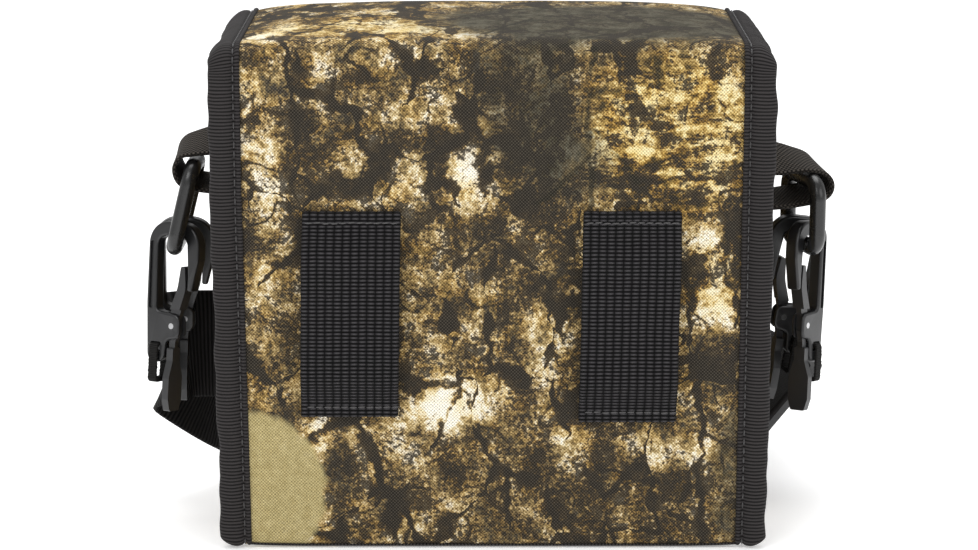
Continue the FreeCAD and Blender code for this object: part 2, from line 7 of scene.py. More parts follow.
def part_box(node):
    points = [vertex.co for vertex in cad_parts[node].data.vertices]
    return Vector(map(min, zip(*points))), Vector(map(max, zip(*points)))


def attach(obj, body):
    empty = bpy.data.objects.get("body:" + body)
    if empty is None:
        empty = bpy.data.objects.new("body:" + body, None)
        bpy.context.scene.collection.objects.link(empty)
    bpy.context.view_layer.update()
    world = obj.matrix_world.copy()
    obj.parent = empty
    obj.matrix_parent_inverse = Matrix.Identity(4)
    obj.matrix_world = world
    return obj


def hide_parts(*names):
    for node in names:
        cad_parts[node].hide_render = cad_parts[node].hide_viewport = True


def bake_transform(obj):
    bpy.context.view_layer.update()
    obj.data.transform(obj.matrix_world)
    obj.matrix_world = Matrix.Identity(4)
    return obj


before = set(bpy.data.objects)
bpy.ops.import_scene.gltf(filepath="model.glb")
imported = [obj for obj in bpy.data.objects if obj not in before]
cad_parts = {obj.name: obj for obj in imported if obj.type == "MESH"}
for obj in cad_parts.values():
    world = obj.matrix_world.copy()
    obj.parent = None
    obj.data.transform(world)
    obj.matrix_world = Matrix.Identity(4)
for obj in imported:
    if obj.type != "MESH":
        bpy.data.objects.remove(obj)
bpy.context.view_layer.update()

# The looks of a binocular harness pack: cloth, tapes, webbing and moulded plastic around
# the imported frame. Metres. X runs along the pack's width, +Y from its back to its front.

MM = 0.001
PACK, LID = "pack", "lid"
BACK_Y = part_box("back_panel")[0].y
TOP_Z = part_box("lid_panel")[1].z

# The shapes below are worked out in millimetres, and only turned into metres at the end.
BACK, TOP = BACK_Y / MM, TOP_Z / MM
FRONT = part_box("lid_panel")[1].y / MM
FLAP_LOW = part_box("lid_panel")[0].z / MM
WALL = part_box("gusset_right")[1].x / MM
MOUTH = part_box("gusset_left")[1].z / MM
BODY_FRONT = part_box("front_panel")[1].y / MM
LINING_LOW, LINING_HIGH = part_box("lining")
X_AXIS, Y_AXIS, Z_AXIS = Vector((1, 0, 0)), Vector((0, 1, 0)), Vector((0, 0, 1))


# -------- camera

CAMERA_DISTANCE = 0.95
CAMERA_PITCH = math.radians(12)
CAMERA_AIM = Vector((-0.001, 0, 0.083))
SENSOR_WIDTH = 36
FOCAL_LENGTH = 102.5


def show(name, data):
    """A new object in the scene, holding the data."""
    made = bpy.data.objects.new(name, data)
    scene.collection.objects.link(made)
    return made


scene = bpy.context.scene
camera_data = bpy.data.cameras.new("camera")
camera_data.sensor_width = SENSOR_WIDTH
camera_data.lens = FOCAL_LENGTH
camera = show("camera", camera_data)
away = Vector((0, -math.cos(CAMERA_PITCH), math.sin(CAMERA_PITCH)))
camera.location = CAMERA_AIM + away * CAMERA_DISTANCE
camera.rotation_euler = (math.pi / 2 - CAMERA_PITCH, 0, 0)
scene.camera = camera


# -------- material nodes


class Graph:
    """One material's nodes. Each method adds a node and returns its output."""

    def __init__(self, name, roughness=0.8, **inputs):
        self.material = bpy.data.materials.new(name)
        self.material.use_nodes = True
        self.tree = self.material.node_tree
        self.shader = self.tree.nodes["Principled BSDF"]
        self.shader.inputs["Roughness"].default_value = roughness
        for key, value in inputs.items():
            self.shader.inputs[key.replace("_", " ")].default_value = value

    def put(self, socket, value):
        if isinstance(value, bpy.types.NodeSocket):
            self.tree.links.new(value, socket)
        elif isinstance(value, tuple) and len(value) == 3 and socket.type == "RGBA":
            socket.default_value = (*value, 1)
        else:
            socket.default_value = value

    def node(self, kind, values=(), **settings):
        made = self.tree.nodes.new("ShaderNode" + kind)
        for key, value in settings.items():
            setattr(made, key, value)
        for key, value in dict(values).items():
            self.put(made.inputs[key], value)
        return made

    def cloth(self, shift=(0, 0, 0)):
        """Millimetres across and along the cloth."""
        made = self.node("UVMap", uv_map="cloth")
        return self.vector("MULTIPLY_ADD", made.outputs[0], (1000, 1000, 1000), shift)

    def place(self):
        """Millimetres in the piece's own space."""
        made = self.node("TexCoord")
        return self.vector("MULTIPLY", made.outputs["Object"], (1000, 1000, 1000))

    def vector(self, operation, *values):
        made = self.node("VectorMath", dict(enumerate(values)), operation=operation)
        return made.outputs["Value" if operation == "LENGTH" else "Vector"]

    def part(self, vector):
        return self.node("SeparateXYZ", {0: vector}).outputs

    def math(self, operation, *values, clamp=False):
        made = self.node("Math", dict(enumerate(values)), operation=operation)
        made.use_clamp = clamp
        return made.outputs[0]

    def times(self, first, second, clamp=False):
        return self.math("MULTIPLY", first, second, clamp=clamp)

    def plus(self, base, value, weight):
        """base with weight times value added."""
        return self.line(value, weight, base)

    def line(self, value, slope, start):
        """value times slope, plus start."""
        return self.math("MULTIPLY_ADD", value, slope, start)

    def noise(self, vector, size, detail=3.0, roughness=0.5, stretch=(1, 1, 1), colour=False):
        """Noise whose features are about size millimetres across."""
        scaled = self.vector("MULTIPLY", vector, tuple(s / size for s in stretch))
        values = {"Vector": scaled, "Scale": 1.0, "Detail": detail, "Roughness": roughness}
        made = self.node("TexNoise", values)
        return made.outputs["Color" if colour else "Fac"]

    def edges(self, vector, size, stretch=(1, 1, 1)):
        """Distance to the edges of irregular cells about size millimetres across."""
        scaled = self.vector("MULTIPLY", vector, tuple(s / size for s in stretch))
        values = {"Vector": scaled, "Scale": 1.0}
        made = self.node("TexVoronoi", values, feature="DISTANCE_TO_EDGE")
        return made.outputs["Distance"]

    def warp(self, vector, size, amount, detail=2.0):
        """The same place, moved about by up to amount millimetres."""
        moved = self.noise(vector, size, detail, colour=True)
        centred = self.vector("SUBTRACT", moved, (0.5, 0.5, 0.5))
        return self.vector("MULTIPLY_ADD", centred, (2 * amount,) * 3, vector)

    def step(self, value, low, high, start=0.0, end=1.0):
        """A soft change from start to end as value goes from low to high."""
        values = {0: value, 1: low, 2: high, 3: start, 4: end}
        made = self.node("MapRange", values, interpolation_type="SMOOTHSTEP")
        return made.outputs[0]

    def wave(self, value, pitch, sharp=1.0):
        """Ridges from 0 to 1, pitch millimetres apart."""
        turned = self.math("MULTIPLY", value, math.pi / pitch)
        ridge = self.math("ABSOLUTE", self.math("SINE", turned))
        return ridge if sharp == 1.0 else self.math("POWER", ridge, sharp)

    def ramp(self, value, stops):
        made = self.node("ValToRGB", {0: value})
        while len(made.color_ramp.elements) < len(stops):
            made.color_ramp.elements.new(1.0)
        for element, (position, colour) in zip(made.color_ramp.elements, stops):
            element.position = position
            element.color = (*colour, 1)
        return made.outputs[0]

    def mix(self, factor, first, second, blend="MIX"):
        made = self.node("Mix", data_type="RGBA", blend_type=blend)
        self.put(made.inputs["Factor"], factor)
        self.put(made.inputs["A"], first)
        self.put(made.inputs["B"], second)
        return made.outputs["Result"]

    def tint(self, factor, first, second):
        """first, multiplied by second as far as factor says."""
        return self.mix(factor, first, second, "MULTIPLY")

    def shaded(self, colour, shade):
        """colour times a grey of that strength."""
        grey = self.node("CombineColor", {0: shade, 1: shade, 2: shade}).outputs[0]
        return self.tint(1.0, colour, grey)

    def bump(self, height, distance, strength=1.0):
        values = {"Height": height, "Distance": distance * MM, "Strength": strength}
        return self.node("Bump", values).outputs[0]

    def finish(self, colour, normal=None, roughness=None):
        self.put(self.shader.inputs["Base Color"], colour)
        if normal is not None:
            self.put(self.shader.inputs["Normal"], normal)
        if roughness is not None:
            self.put(self.shader.inputs["Roughness"], roughness)
        return self.material


def srgb(red, green, blue):
    """An sRGB colour of 0 to 255 as linear numbers."""
    out = []
    for value in (red, green, blue):
        share = value / 255
        out.append(share / 12.92 if share <= 0.04045 else ((share + 0.055) / 1.055) ** 2.4)
    return tuple(out)


def scaled(colour, factor, lift=0.0):
    """The colour times factor, plus lift."""
    return tuple(min(1, factor * c + lift) for c in colour)


# -------- cloth materials

CHARCOAL = srgb(28, 26, 26)
BARK_TONES = [
    (0.27, srgb(58, 54, 48)), (0.35, srgb(86, 76, 57)), (0.42, srgb(121, 103, 68)),
    (0.49, srgb(164, 140, 92)), (0.56, srgb(207, 184, 134)), (0.63, srgb(236, 222, 186)),
    (0.70, srgb(250, 245, 228)),
]

# Soft zones of the print on the back and the top, in millimetres: across, along, half
# width, half height and strength. Along runs up the back and on over the top.
LIGHT_ZONES = [
    (-71, 150, 9, 16, 0.5), (-73, 126, 7, 11, 0.6), (-8, 128, 8, 14, 0.9), (-12, 51, 12, 7, 1.3),
    (-22, 44, 9, 5, 0.9), (60, 153, 22, 6, 0.3), (57, 136, 17, 8, 0.25), (76, 145, 5, 13, 0.4),
    (72, 82, 8, 8, 0.7), (70, 105, 9, 4, 0.5), (-60, 38, 7, 7, 0.8), (-64, 7, 9, 5, 0.7),
    (-44, 38, 6, 5, 0.5), (25, 38, 4, 4, 0.5), (50, 34, 6, 8, 0.45), (65, 31, 8, 7, 0.6),
    (18, 73, 10, 8, 0.35), (-40, 187, 32, 15, 0.55), (-70, 178, 10, 10, 0.6), (-30, 152, 12, 7, 0.3),
    (-20, 92, 10, 9, 0.3), (-70, 92, 9, 9, 0.35),
]
DARK_ZONES = [
    (-63, 140, 5, 36, 1.0), (-27, 139, 15, 3, 0.7), (12, 141, 15, 29, 1.1), (14, 98, 13, 20, 0.4),
    (-44, 152, 6, 10, 0.4), (50, 118, 16, 4, 0.5), (-10, 109, 11, 6, 0.5), (-46, 20, 14, 13, 0.4),
    (8, 18, 16, 11, 0.3), (36, 20, 18, 14, 0.65), (67, 15, 10, 14, 0.7), (78, 48, 4, 22, 0.5),
    (40, 47, 18, 4, 0.5), (-50, 44, 4, 18, 0.5), (62, 66, 12, 8, 0.35), (30, 84, 9, 8, 0.4),
]
OLIVE_ZONES = [
    (12, 148, 17, 24, 0.8), (38, 200, 54, 30, 1.6), (27, 128, 12, 12, 0.6), (79, 24, 6, 26, 0.7),
]
STRAW_ZONES = [(58, 140, 30, 27, 1.0), (72, 92, 10, 12, 0.6), (-42, 190, 34, 18, 0.7)]
KHAKI_ZONES = [(-80, 20, 25, 27, 1.0)]
# Each twig of the print as a line from one place to another.
TWIGS = [
    (31, 168, 32, 112), (33, 140, 47, 124), (32, 132, 15, 118), (36, 177, 12, 160), (-4, 176, 20, 208),
]
CLOTH_WEAVE = 1.1


def zones(graph, spot, places, soft=0.55):
    """The sum of soft oval zones at a warped place."""
    total = 0.0
    for across, along, half_width, half_height, strength in places:
        offset = graph.vector("SUBTRACT", spot, (across, along, 0))
        scaled = graph.vector("MULTIPLY", offset, (1 / half_width, 1 / half_height, 0))
        reach = graph.vector("LENGTH", scaled)
        value = graph.step(reach, 1 - soft, 1 + soft, strength, 0.0)
        total = graph.math("ADD", total, value)
    return total


def twig(graph, spot, line, half):
    """A thin line between two places, as a mask."""
    x0, y0, x1, y1 = line
    run = Vector((x1 - x0, y1 - y0, 0))
    offset = graph.vector("SUBTRACT", spot, (x0, y0, 0))
    along = run / run.length_squared
    parts = graph.part(graph.vector("MULTIPLY", offset, tuple(along)))
    share = graph.math("ADD", parts[0], parts[1], clamp=True)
    both = graph.node("CombineXYZ", {0: share, 1: share}).outputs[0]
    nearest = graph.vector("MULTIPLY", both, tuple(run))
    distance = graph.vector("LENGTH", graph.vector("SUBTRACT", offset, nearest))
    return graph.step(distance, half * 0.4, half, 1.0, 0.0)


def bark(graph, flat, broad, spot):
    """Cracked bark: its tone, its furrows, and how densely it is inked."""
    body = graph.noise(broad, 16, 6.0, 0.66, (1.25, 0.85, 1))
    clumps = graph.noise(spot, 5.0, 5.0, 0.7)
    flecks = graph.noise(flat, 1.5, 3.0, 0.72)
    tone = graph.plus(graph.times(clumps, 0.8), body, 1.15)
    tone = graph.plus(graph.math("SUBTRACT", tone, 0.795), flecks, 0.62)
    moved = graph.warp(graph.warp(flat, 24, 8.0), 7, 3.6, 6.0)
    plates = graph.edges(moved, 28, (1.3, 0.8, 1))
    width = graph.step(graph.noise(flat, 20, 3.0, 0.6), 0.39, 0.62, 0.0, 0.06)
    reach = graph.math("DIVIDE", plates, graph.math("MAXIMUM", width, 0.002))
    furrow = graph.step(reach, 0.15, 2.0, 1.0, 0.0)
    rim = graph.times(graph.step(reach, 1.4, 2.2), graph.step(reach, 2.4, 4.0, 1.0, 0.0))
    line = graph.noise(graph.warp(flat, 7, 2.0, 4.0), 21, 1.0)
    bend = graph.math("ABSOLUTE", graph.math("SUBTRACT", line, 0.52))
    broken = graph.step(graph.noise(flat, 12), 0.42, 0.6)
    crease = graph.times(graph.step(bend, 0.004, 0.022, 1.0, 0.0), broken)
    tone = graph.plus(tone, furrow, -0.2)
    tone = graph.plus(tone, crease, -0.12)
    tone = graph.plus(tone, rim, 0.045)
    mottle = graph.step(graph.noise(broad, 10, 5.0, 0.68), 0.36, 0.64, 0.2, 0.95)
    density = graph.plus(graph.plus(mottle, furrow, 0.75), crease, 0.5)
    return tone, furrow, density


def lay_out(graph, ragged, spot, tone, furrow, density):
    """The bark with its light, dark and straw areas in their places."""
    lit = zones(graph, ragged, LIGHT_ZONES, 0.7)
    dark = zones(graph, ragged, DARK_ZONES, 0.7)
    straw = zones(graph, ragged, STRAW_ZONES, 0.35)
    streaks = graph.noise(spot, 4.0, 5.0, 0.68, (0.17, 1, 1))
    streaked = graph.times(straw, graph.math("SUBTRACT", streaks, 0.47))
    healed = graph.times(furrow, straw, clamp=True)
    for value, tone_weight, density_weight in (
        (lit, 0.18, -0.5), (dark, -0.09, 0.34), (streaked, 0.95, -2.6), (healed, 0.14, -0.5),
    ):
        tone = graph.plus(tone, value, tone_weight)
        density = graph.plus(density, value, density_weight)
    return tone, density, straw


def inked(graph, colour, flat, spot, density):
    """The colour under dark specks, which are thick where density is high."""
    long_grain = graph.noise(spot, 3.2, 5.0, 0.72, (0.8, 1.3, 1))
    round_grain = graph.noise(flat, 1.25, 3.0, 0.7)
    grain = graph.plus(graph.times(long_grain, 0.38), round_grain, 0.62)
    excess = graph.math("SUBTRACT", grain, graph.line(density, -0.235, 0.643))
    ink = graph.step(excess, -0.05, 0.05)
    stain = graph.step(excess, -0.1, -0.01, 0.0, 0.5)
    colour = graph.tint(stain, colour, srgb(212, 186, 144))
    ink_tone = graph.mix(graph.noise(flat, 3.5, 4.0, 0.7), CHARCOAL, srgb(58, 52, 43))
    return graph.mix(graph.times(ink, 0.93), colour, ink_tone)


def camo(name, shift=(0, 0, 0), placed=True):
    """A printed woodland pattern of bark, moss and twigs on a plain weave."""
    graph = Graph(name, 0.9, Sheen_Weight=0.03, Sheen_Roughness=0.6, Specular_IOR_Level=0.1)
    flat = graph.cloth(shift)
    broad = graph.warp(flat, 26, 4.0)
    spot = graph.warp(broad, 6, 2.0, 4.0)
    tone, furrow, density = bark(graph, flat, broad, spot)
    if placed:
        ragged = graph.warp(flat, 8, 4.5, 5.0)
        tone, density, straw = lay_out(graph, ragged, spot, tone, furrow, density)
    colour = graph.ramp(tone, BARK_TONES)
    ochre = graph.step(graph.noise(flat, 9, 4.0), 0.42, 0.66, 0.0, 0.6)
    colour = graph.tint(ochre, colour, srgb(241, 220, 158))
    if placed:
        colour = graph.tint(graph.times(straw, 0.6, clamp=True), colour, srgb(240, 222, 140))
        olive = zones(graph, graph.warp(ragged, 18, 5.0, 5.0), OLIVE_ZONES, 0.4)
        olive = graph.times(olive, 0.97, clamp=True)
        patches = graph.step(graph.noise(spot, 6, 6.0, 0.7), 0.36, 0.64)
        moss = graph.mix(patches, srgb(52, 49, 38), srgb(92, 88, 74))
        colour = graph.mix(olive, colour, moss)
        density = graph.plus(density, olive, -0.28)
    colour = inked(graph, colour, flat, spot, density)
    if placed:
        khaki = zones(graph, graph.warp(flat, 11, 3.6, 4.0), KHAKI_ZONES, 0.05)
        plain = graph.mix(graph.noise(flat, 2.5, 3.0), srgb(152, 135, 84), srgb(204, 189, 138))
        colour = graph.mix(graph.times(khaki, 0.95, clamp=True), colour, plain)
        for line in TWIGS:
            mark = twig(graph, spot, line, 1.3)
            colour = graph.mix(graph.times(mark, 0.78), colour, srgb(38, 36, 29))
    weave = weave_height(graph, CLOTH_WEAVE)
    threads = graph.noise(flat, 0.55, 1.0, 0.5)
    shade = graph.plus(graph.line(threads, 0.72, 0.09), weave, 0.82)
    # Painted highlight: the tops of the weave's threads are mixed towards a light grey, as if they caught the
    # light.
    thread_top_highlight = graph.times(graph.math("POWER", weave, 3.0), 0.13)
    colour = graph.mix(thread_top_highlight, graph.shaded(colour, shade), srgb(176, 168, 150))
    return graph.finish(colour, graph.bump(weave, 0.16))


def weave_height(graph, pitch):
    """Over-and-under threads of a plain weave."""
    across, along, _ = graph.part(graph.cloth())
    warp = graph.math("SINE", graph.times(across, 2 * math.pi / pitch))
    weft = graph.math("SINE", graph.times(along, 2 * math.pi / pitch))
    return graph.line(graph.times(warp, weft), 0.5, 0.5)


def ribbed(name, colour, pitch, column=0.0, depth=0.25, lag=0.5, crisp=2.2, gain=1.9):
    """Webbing or tape with ribs across it, and columns of picks where column is set."""
    graph = Graph(name, 0.75, Sheen_Weight=0.02, Sheen_Roughness=0.5, Specular_IOR_Level=0.1)
    flat = graph.cloth()
    across, row, _ = graph.part(graph.warp(flat, 6, 0.18))
    if column:
        lane = graph.math("FLOOR", graph.math("DIVIDE", across, column))
        row = graph.math("ADD", row, graph.times(lane, pitch * lag))
        between = graph.wave(across, column, 0.35)
    ribs = graph.wave(row, pitch)
    height = graph.times(ribs, between) if column else ribs
    fine = graph.noise(flat, 0.35, 2.0, 0.5, (1, 2.2, 1))
    height = graph.plus(height, fine, 0.35)
    patch = graph.noise(flat, 11, 3.0)
    faded = graph.line(patch, 0.3, -0.1)
    shade = graph.plus(faded, graph.math("POWER", height, crisp), gain)
    fuzz = graph.step(graph.noise(flat, 0.6, 2.0, 0.7), 0.66, 0.78, 0.0, 0.25)
    tinted = graph.mix(fuzz, graph.shaded(colour, shade), scaled(colour, 3.2))
    return graph.finish(tinted, graph.bump(height, depth, 0.9))


def hanging_tape(name, colour):
    """Narrow ribbed tape whose ribs follow its own height, with no cloth map."""
    graph = Graph(name, 0.75, Sheen_Weight=0.02, Specular_IOR_Level=0.1)
    spot = graph.place()
    ribs = graph.wave(graph.part(spot)[2], 0.6)
    height = graph.plus(ribs, graph.noise(spot, 0.3, 2.0, 0.6), 0.5)
    shade = graph.line(height, 0.9, 0.1)
    return graph.finish(graph.shaded(colour, shade), graph.bump(height, 0.15, 0.8))


def plain_cloth(name, colour, pitch):
    """Plain woven cloth."""
    graph = Graph(name, 0.9, Sheen_Weight=0.2, Specular_IOR_Level=0.25)
    weave = weave_height(graph, pitch)
    patch = graph.noise(graph.cloth(), 14, 4.0)
    shade = graph.plus(graph.line(patch, 0.5, 0.4), weave, 0.5)
    return graph.finish(graph.shaded(colour, shade), graph.bump(weave, 0.1, 0.8))


def pile(name, colour, size):
    """Hook tape, loop tape, brushed lining or foam: a dense pile of small loops or cells."""
    graph = Graph(name, 0.95, Sheen_Weight=0.12, Sheen_Roughness=0.5, Specular_IOR_Level=0.1)
    flat = graph.cloth()
    hairs = graph.noise(flat, size * 0.4, 3.0, 0.7)
    height = graph.plus(hairs, graph.edges(flat, size), 1.2)
    shade = graph.line(height, 0.9, 0.25)
    return graph.finish(graph.shaded(colour, shade), graph.bump(height, 0.3, 0.8))


def plastic(name, colour, roughness, grain=0.05):
    """Moulded plastic with a fine grain, faint mould flow, scuffs, and a painted highlight on its sharp
    edges.
    """
    graph = Graph(name, roughness, Specular_IOR_Level=0.55)
    spot = graph.place()
    texture = graph.noise(spot, 0.28, 2.0)
    flow = graph.noise(spot, 9, 3.0)
    scuffs = graph.step(graph.noise(spot, 2.2, 5.0, 0.7, (1, 1, 0.4)), 0.60, 0.74, 0.0, 0.35)
    # Painted highlight: sharp convex edges are lightened in the colour. The noise scuffs are real wear.
    pointed = graph.node("NewGeometry").outputs["Pointiness"]
    edge_highlight = graph.step(pointed, 0.53, 0.62, 0.0, 0.5)
    scuffs_and_edge_highlight = graph.math("ADD", scuffs, edge_highlight, clamp=True)
    tone = graph.mix(flow, scaled(colour, 0.8), scaled(colour, 1.25))
    tone = graph.mix(scuffs_and_edge_highlight, tone, scaled(colour, 2.6, 0.01))
    shine = graph.line(graph.math("ADD", flow, scuffs), 0.2, roughness - 0.1)
    return graph.finish(tone, graph.bump(texture, grain, 0.5), shine)


def metal(name, colour, roughness):
    """Brushed bright metal."""
    graph = Graph(name, roughness, Metallic=1.0)
    brushed = graph.noise(graph.place(), 0.2, 2.0, 0.6, (1, 0.15, 1))
    tone = graph.mix(brushed, scaled(colour, 0.75), colour)
    return graph.finish(tone, graph.bump(brushed, 0.01, 0.4))


def thread(name, colour):
    """Twisted sewing thread."""
    graph = Graph(name, 0.6, Sheen_Weight=0.3)
    twist = graph.wave(graph.part(graph.place())[0], 0.35)
    # The grooves between the twisted plies are darkened in the colour: painted shade.
    return graph.finish(graph.mix(twist, scaled(colour, 0.5), colour), graph.bump(twist, 0.05, 0.8))


# The pitches of the tape's and the belt loops' ribs, and of the loops' columns.
TAPE_RIB = 1.14
LOOP_RIB, LOOP_COLUMN = 1.27, 2.7
CAMO = camo("camo_print")
CAMO_BODY = camo("camo_print_body", (311, 57, 0), placed=False)
TAPE = ribbed("binding_ribs", srgb(37, 35, 35), TAPE_RIB, depth=0.16, crisp=1.6, gain=1.7)
LOOP_WEBBING = ribbed(
    "loop_ribs", srgb(31, 30, 31), LOOP_RIB, LOOP_COLUMN, depth=0.4, lag=0.0, crisp=3.4, gain=2.6,
)
TAB_WEBBING = ribbed("tab_ribs", srgb(54, 50, 46), 1.5, 0.9, 0.4)
HOOK_TAPE = hanging_tape("hook_loop_ribs", srgb(30, 29, 28))
# Painted shade: the strap is given a darker black than the other webbings, for the shade it lies in low
# between the pack's parts.
STRAP_WEBBING_SHADED = ribbed("strap_ribs_painted_shade", srgb(18, 17, 17), 1.3)
SIDE_CLOTH = plain_cloth("base_weave", srgb(40, 40, 42), 0.7)
LINING = pile("lining_pile", srgb(66, 65, 64), 0.9)
LOOP_PILE = pile("loop_pile", srgb(27, 27, 28), 0.7)
HOOK_PILE = pile("hook_pile", srgb(24, 24, 25), 1.2)
HOOK_PLASTIC = plastic("hook_moulded", srgb(25, 25, 26), 0.32)
RING_PLASTIC = plastic("ring_moulded", srgb(25, 25, 25), 0.27)
SLIDER_PLASTIC = plastic("slider_moulded", srgb(34, 34, 35), 0.42, 0.09)
STEEL = metal("pin_bright", (0.62, 0.62, 0.63), 0.28)
SPRING = metal("spring_bright", (0.5, 0.5, 0.52), 0.35)
THREAD = thread("black_thread", srgb(72, 70, 70))
FOAM = pile("foam_cells", srgb(120, 120, 118), 0.8)
BOARD = plastic("board_sheet", srgb(60, 60, 60), 0.5)


# -------- mesh helpers


def rounded_path(corners, spacing=1.0):
    """Points spacing apart along straight runs with rounded corners, from (x, y, radius)."""
    points = [Vector(corners[0][:2])]
    for before, here, after in zip(corners, corners[1:], corners[2:]):
        middle = Vector(here[:2])
        back = (Vector(before[:2]) - middle).normalized()
        on = (Vector(after[:2]) - middle).normalized()
        half = back.angle(on) / 2
        reach = here[2] / math.tan(half)
        start, end = middle + back * reach, middle + on * reach
        centre = middle + (back + on).normalized() * (here[2] / math.sin(half))
        steps = max(2, int(here[2] * (math.pi - 2 * half) / (spacing * 0.5)))
        first = start - centre
        turn = first.angle_signed(end - centre) * -1
        for step in range(steps + 1):
            angle = turn * step / steps
            c, s = math.cos(angle), math.sin(angle)
            points.append(centre + Vector((first.x * c - first.y * s, first.x * s + first.y * c)))
    points.append(Vector(corners[-1][:2]))
    return Path(points)


class Path:
    """A polyline that gives a point and a left-hand normal for a distance along it."""

    def __init__(self, points):
        self.points = points
        self.lengths = [0.0]
        for a, b in zip(points, points[1:]):
            self.lengths.append(self.lengths[-1] + (b - a).length)
        self.length = self.lengths[-1]

    def at(self, distance):
        low, high = 0, len(self.points) - 1
        while high - low > 1:
            middle = (low + high) // 2
            low, high = (middle, high) if self.lengths[middle] <= distance else (low, middle)
        run = self.points[high] - self.points[low]
        share = (distance - self.lengths[low]) / max(run.length, 1e-9)
        return self.points[low] + run * share

    def heading(self, distance, reach=1.0):
        low, high = max(0.0, distance - reach), min(self.length, distance + reach)
        return (self.at(high) - self.at(low)).normalized()

    def point_and_normal(self, distance, reach):
        heading = self.heading(distance, reach)
        return self.at(distance), Vector((-heading.y, heading.x))


def spread(start, end, spacing):
    """Evenly spaced numbers from start to end."""
    count = max(1, round(abs(end - start) / spacing))
    return [start + (end - start) * i / count for i in range(count + 1)]


def line_heading(line, i):
    """The direction of a polyline at its point i."""
    return (line[min(i + 1, len(line) - 1)] - line[max(i - 1, 0)]).normalized()


def ridge(height, place, pitch):
    """A rib's height at a place, where ribs are pitch apart."""
    return height * abs(math.sin(math.pi * place / pitch))


def soften(mesh):
    mesh.polygons.foreach_set("use_smooth", [True] * len(mesh.polygons))


def smooth_mesh(name, vertices, faces, material):
    mesh = bpy.data.meshes.new(name)
    mesh.from_pydata(vertices, [], faces)
    soften(mesh)
    mesh.materials.append(material)
    return mesh


def surface(name, columns, rows, point, material, loop=False, caps=False, texture=None):
    """A grid mesh in metres from point(column, row) in millimetres, with cloth UVs."""
    vertices = [Vector(point(column, row)) * MM for row in rows for column in columns]
    wide, high = len(columns), len(rows)
    faces, corners = [], []
    step = columns[-1] - columns[-2]
    places = list(columns) + [columns[-1] + step]
    for j in range(high - 1):
        for i in range(wide if loop else wide - 1):
            k = (i + 1) % wide
            low, high_row = j * wide, (j + 1) * wide
            faces.append((low + i, low + k, high_row + k, high_row + i))
            left, right = places[i], places[i + 1]
            corners += [(left, rows[j]), (right, rows[j]), (right, rows[j + 1]), (left, rows[j + 1])]
    if caps:
        for j, order in ((0, -1), (high - 1, 1)):
            ring = [j * wide + i for i in range(wide)][::order]
            faces.append(tuple(ring))
            corners += [(places[i % wide], rows[j]) for i in ring]
    mesh = smooth_mesh(name, vertices, faces, material)
    layer = mesh.uv_layers.new(name="cloth")
    for slot, (across, along) in zip(layer.data, corners):
        if texture:
            across, along = texture(across, along)
        slot.uv = (across * MM, along * MM)
    mesh.update()
    return show(name, mesh)


def tube(name, section, rows, point, texture):
    """Closed tape: point(column, row) places corner number column of its section."""
    columns = list(range(len(section)))
    return surface(name, columns, rows, point, TAPE, loop=True, caps=True, texture=texture)


def settle(obj):
    """Replaces the mesh by its shape with modifiers applied."""
    graph = bpy.context.evaluated_depsgraph_get()
    mesh = bpy.data.meshes.new_from_object(obj.evaluated_get(graph))
    obj.modifiers.clear()
    obj.data = mesh
    return obj


def thicken(obj, thickness, offset=-1.0, inside=None):
    """Makes a sheet a closed shell of that thickness in millimetres, lined where inside is set."""
    solid = obj.modifiers.new("thick", "SOLIDIFY")
    if inside:
        obj.data.materials.append(inside)
        solid.material_offset = 1
    solid.thickness = thickness * MM
    solid.offset = offset
    solid.use_even_offset = True
    solid.use_rim = True
    bpy.context.view_layer.update()
    return settle(obj)


def rounded_strip(half_width, half_thick, samples=3):
    """The outline of a flat strip with round edges, as (across, out) pairs."""
    points = []
    for side in (1, -1):
        for i in range(samples * 2 + 1):
            angle = math.pi / 2 - math.pi * i / (samples * 2)
            wide = half_width - half_thick + half_thick * math.cos(angle)
            points.append((side * wide, side * half_thick * math.sin(angle)))
        inner = half_width - half_thick
        count = max(2, int(2 * inner / 2.4))
        for i in range(1, count):
            points.append((side * (inner - 2 * inner * i / count), -side * half_thick))
    return points


def ribbon(name, line, outline, frames, material):
    """A closed strip along a polyline; frames(i) gives its across and out directions."""
    rows = [0.0]
    for a, b in zip(line, line[1:]):
        rows.append(rows[-1] + (b - a).length)
    index = {row: i for i, row in enumerate(rows)}
    table = [frames(i) for i in range(len(line))]
    columns = list(range(len(outline)))

    def point(column, row):
        i = index[row]
        across, out = table[i]
        return line[i] + across * outline[column][0] + out * outline[column][1]

    def texture(column, row):
        return outline[int(column) % len(outline)][0], row

    return surface(name, columns, rows, point, material, loop=True, caps=True, texture=texture)


def wander(place, size, amount, seed=0.0):
    """Smooth noise in millimetres at a place in millimetres."""
    return amount * noise.noise(Vector(place) / size + Vector((seed, seed * 1.7, 0)))


def eased(share):
    """share held from 0 to 1, with a soft start and end."""
    share = min(1.0, max(0.0, share))
    return share * share * (3 - 2 * share)


def give(node, material):
    """Puts a material on a carried-over CAD node."""
    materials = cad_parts[node].data.materials
    materials.clear()
    materials.append(material)


STITCH_PITCH = 3.1


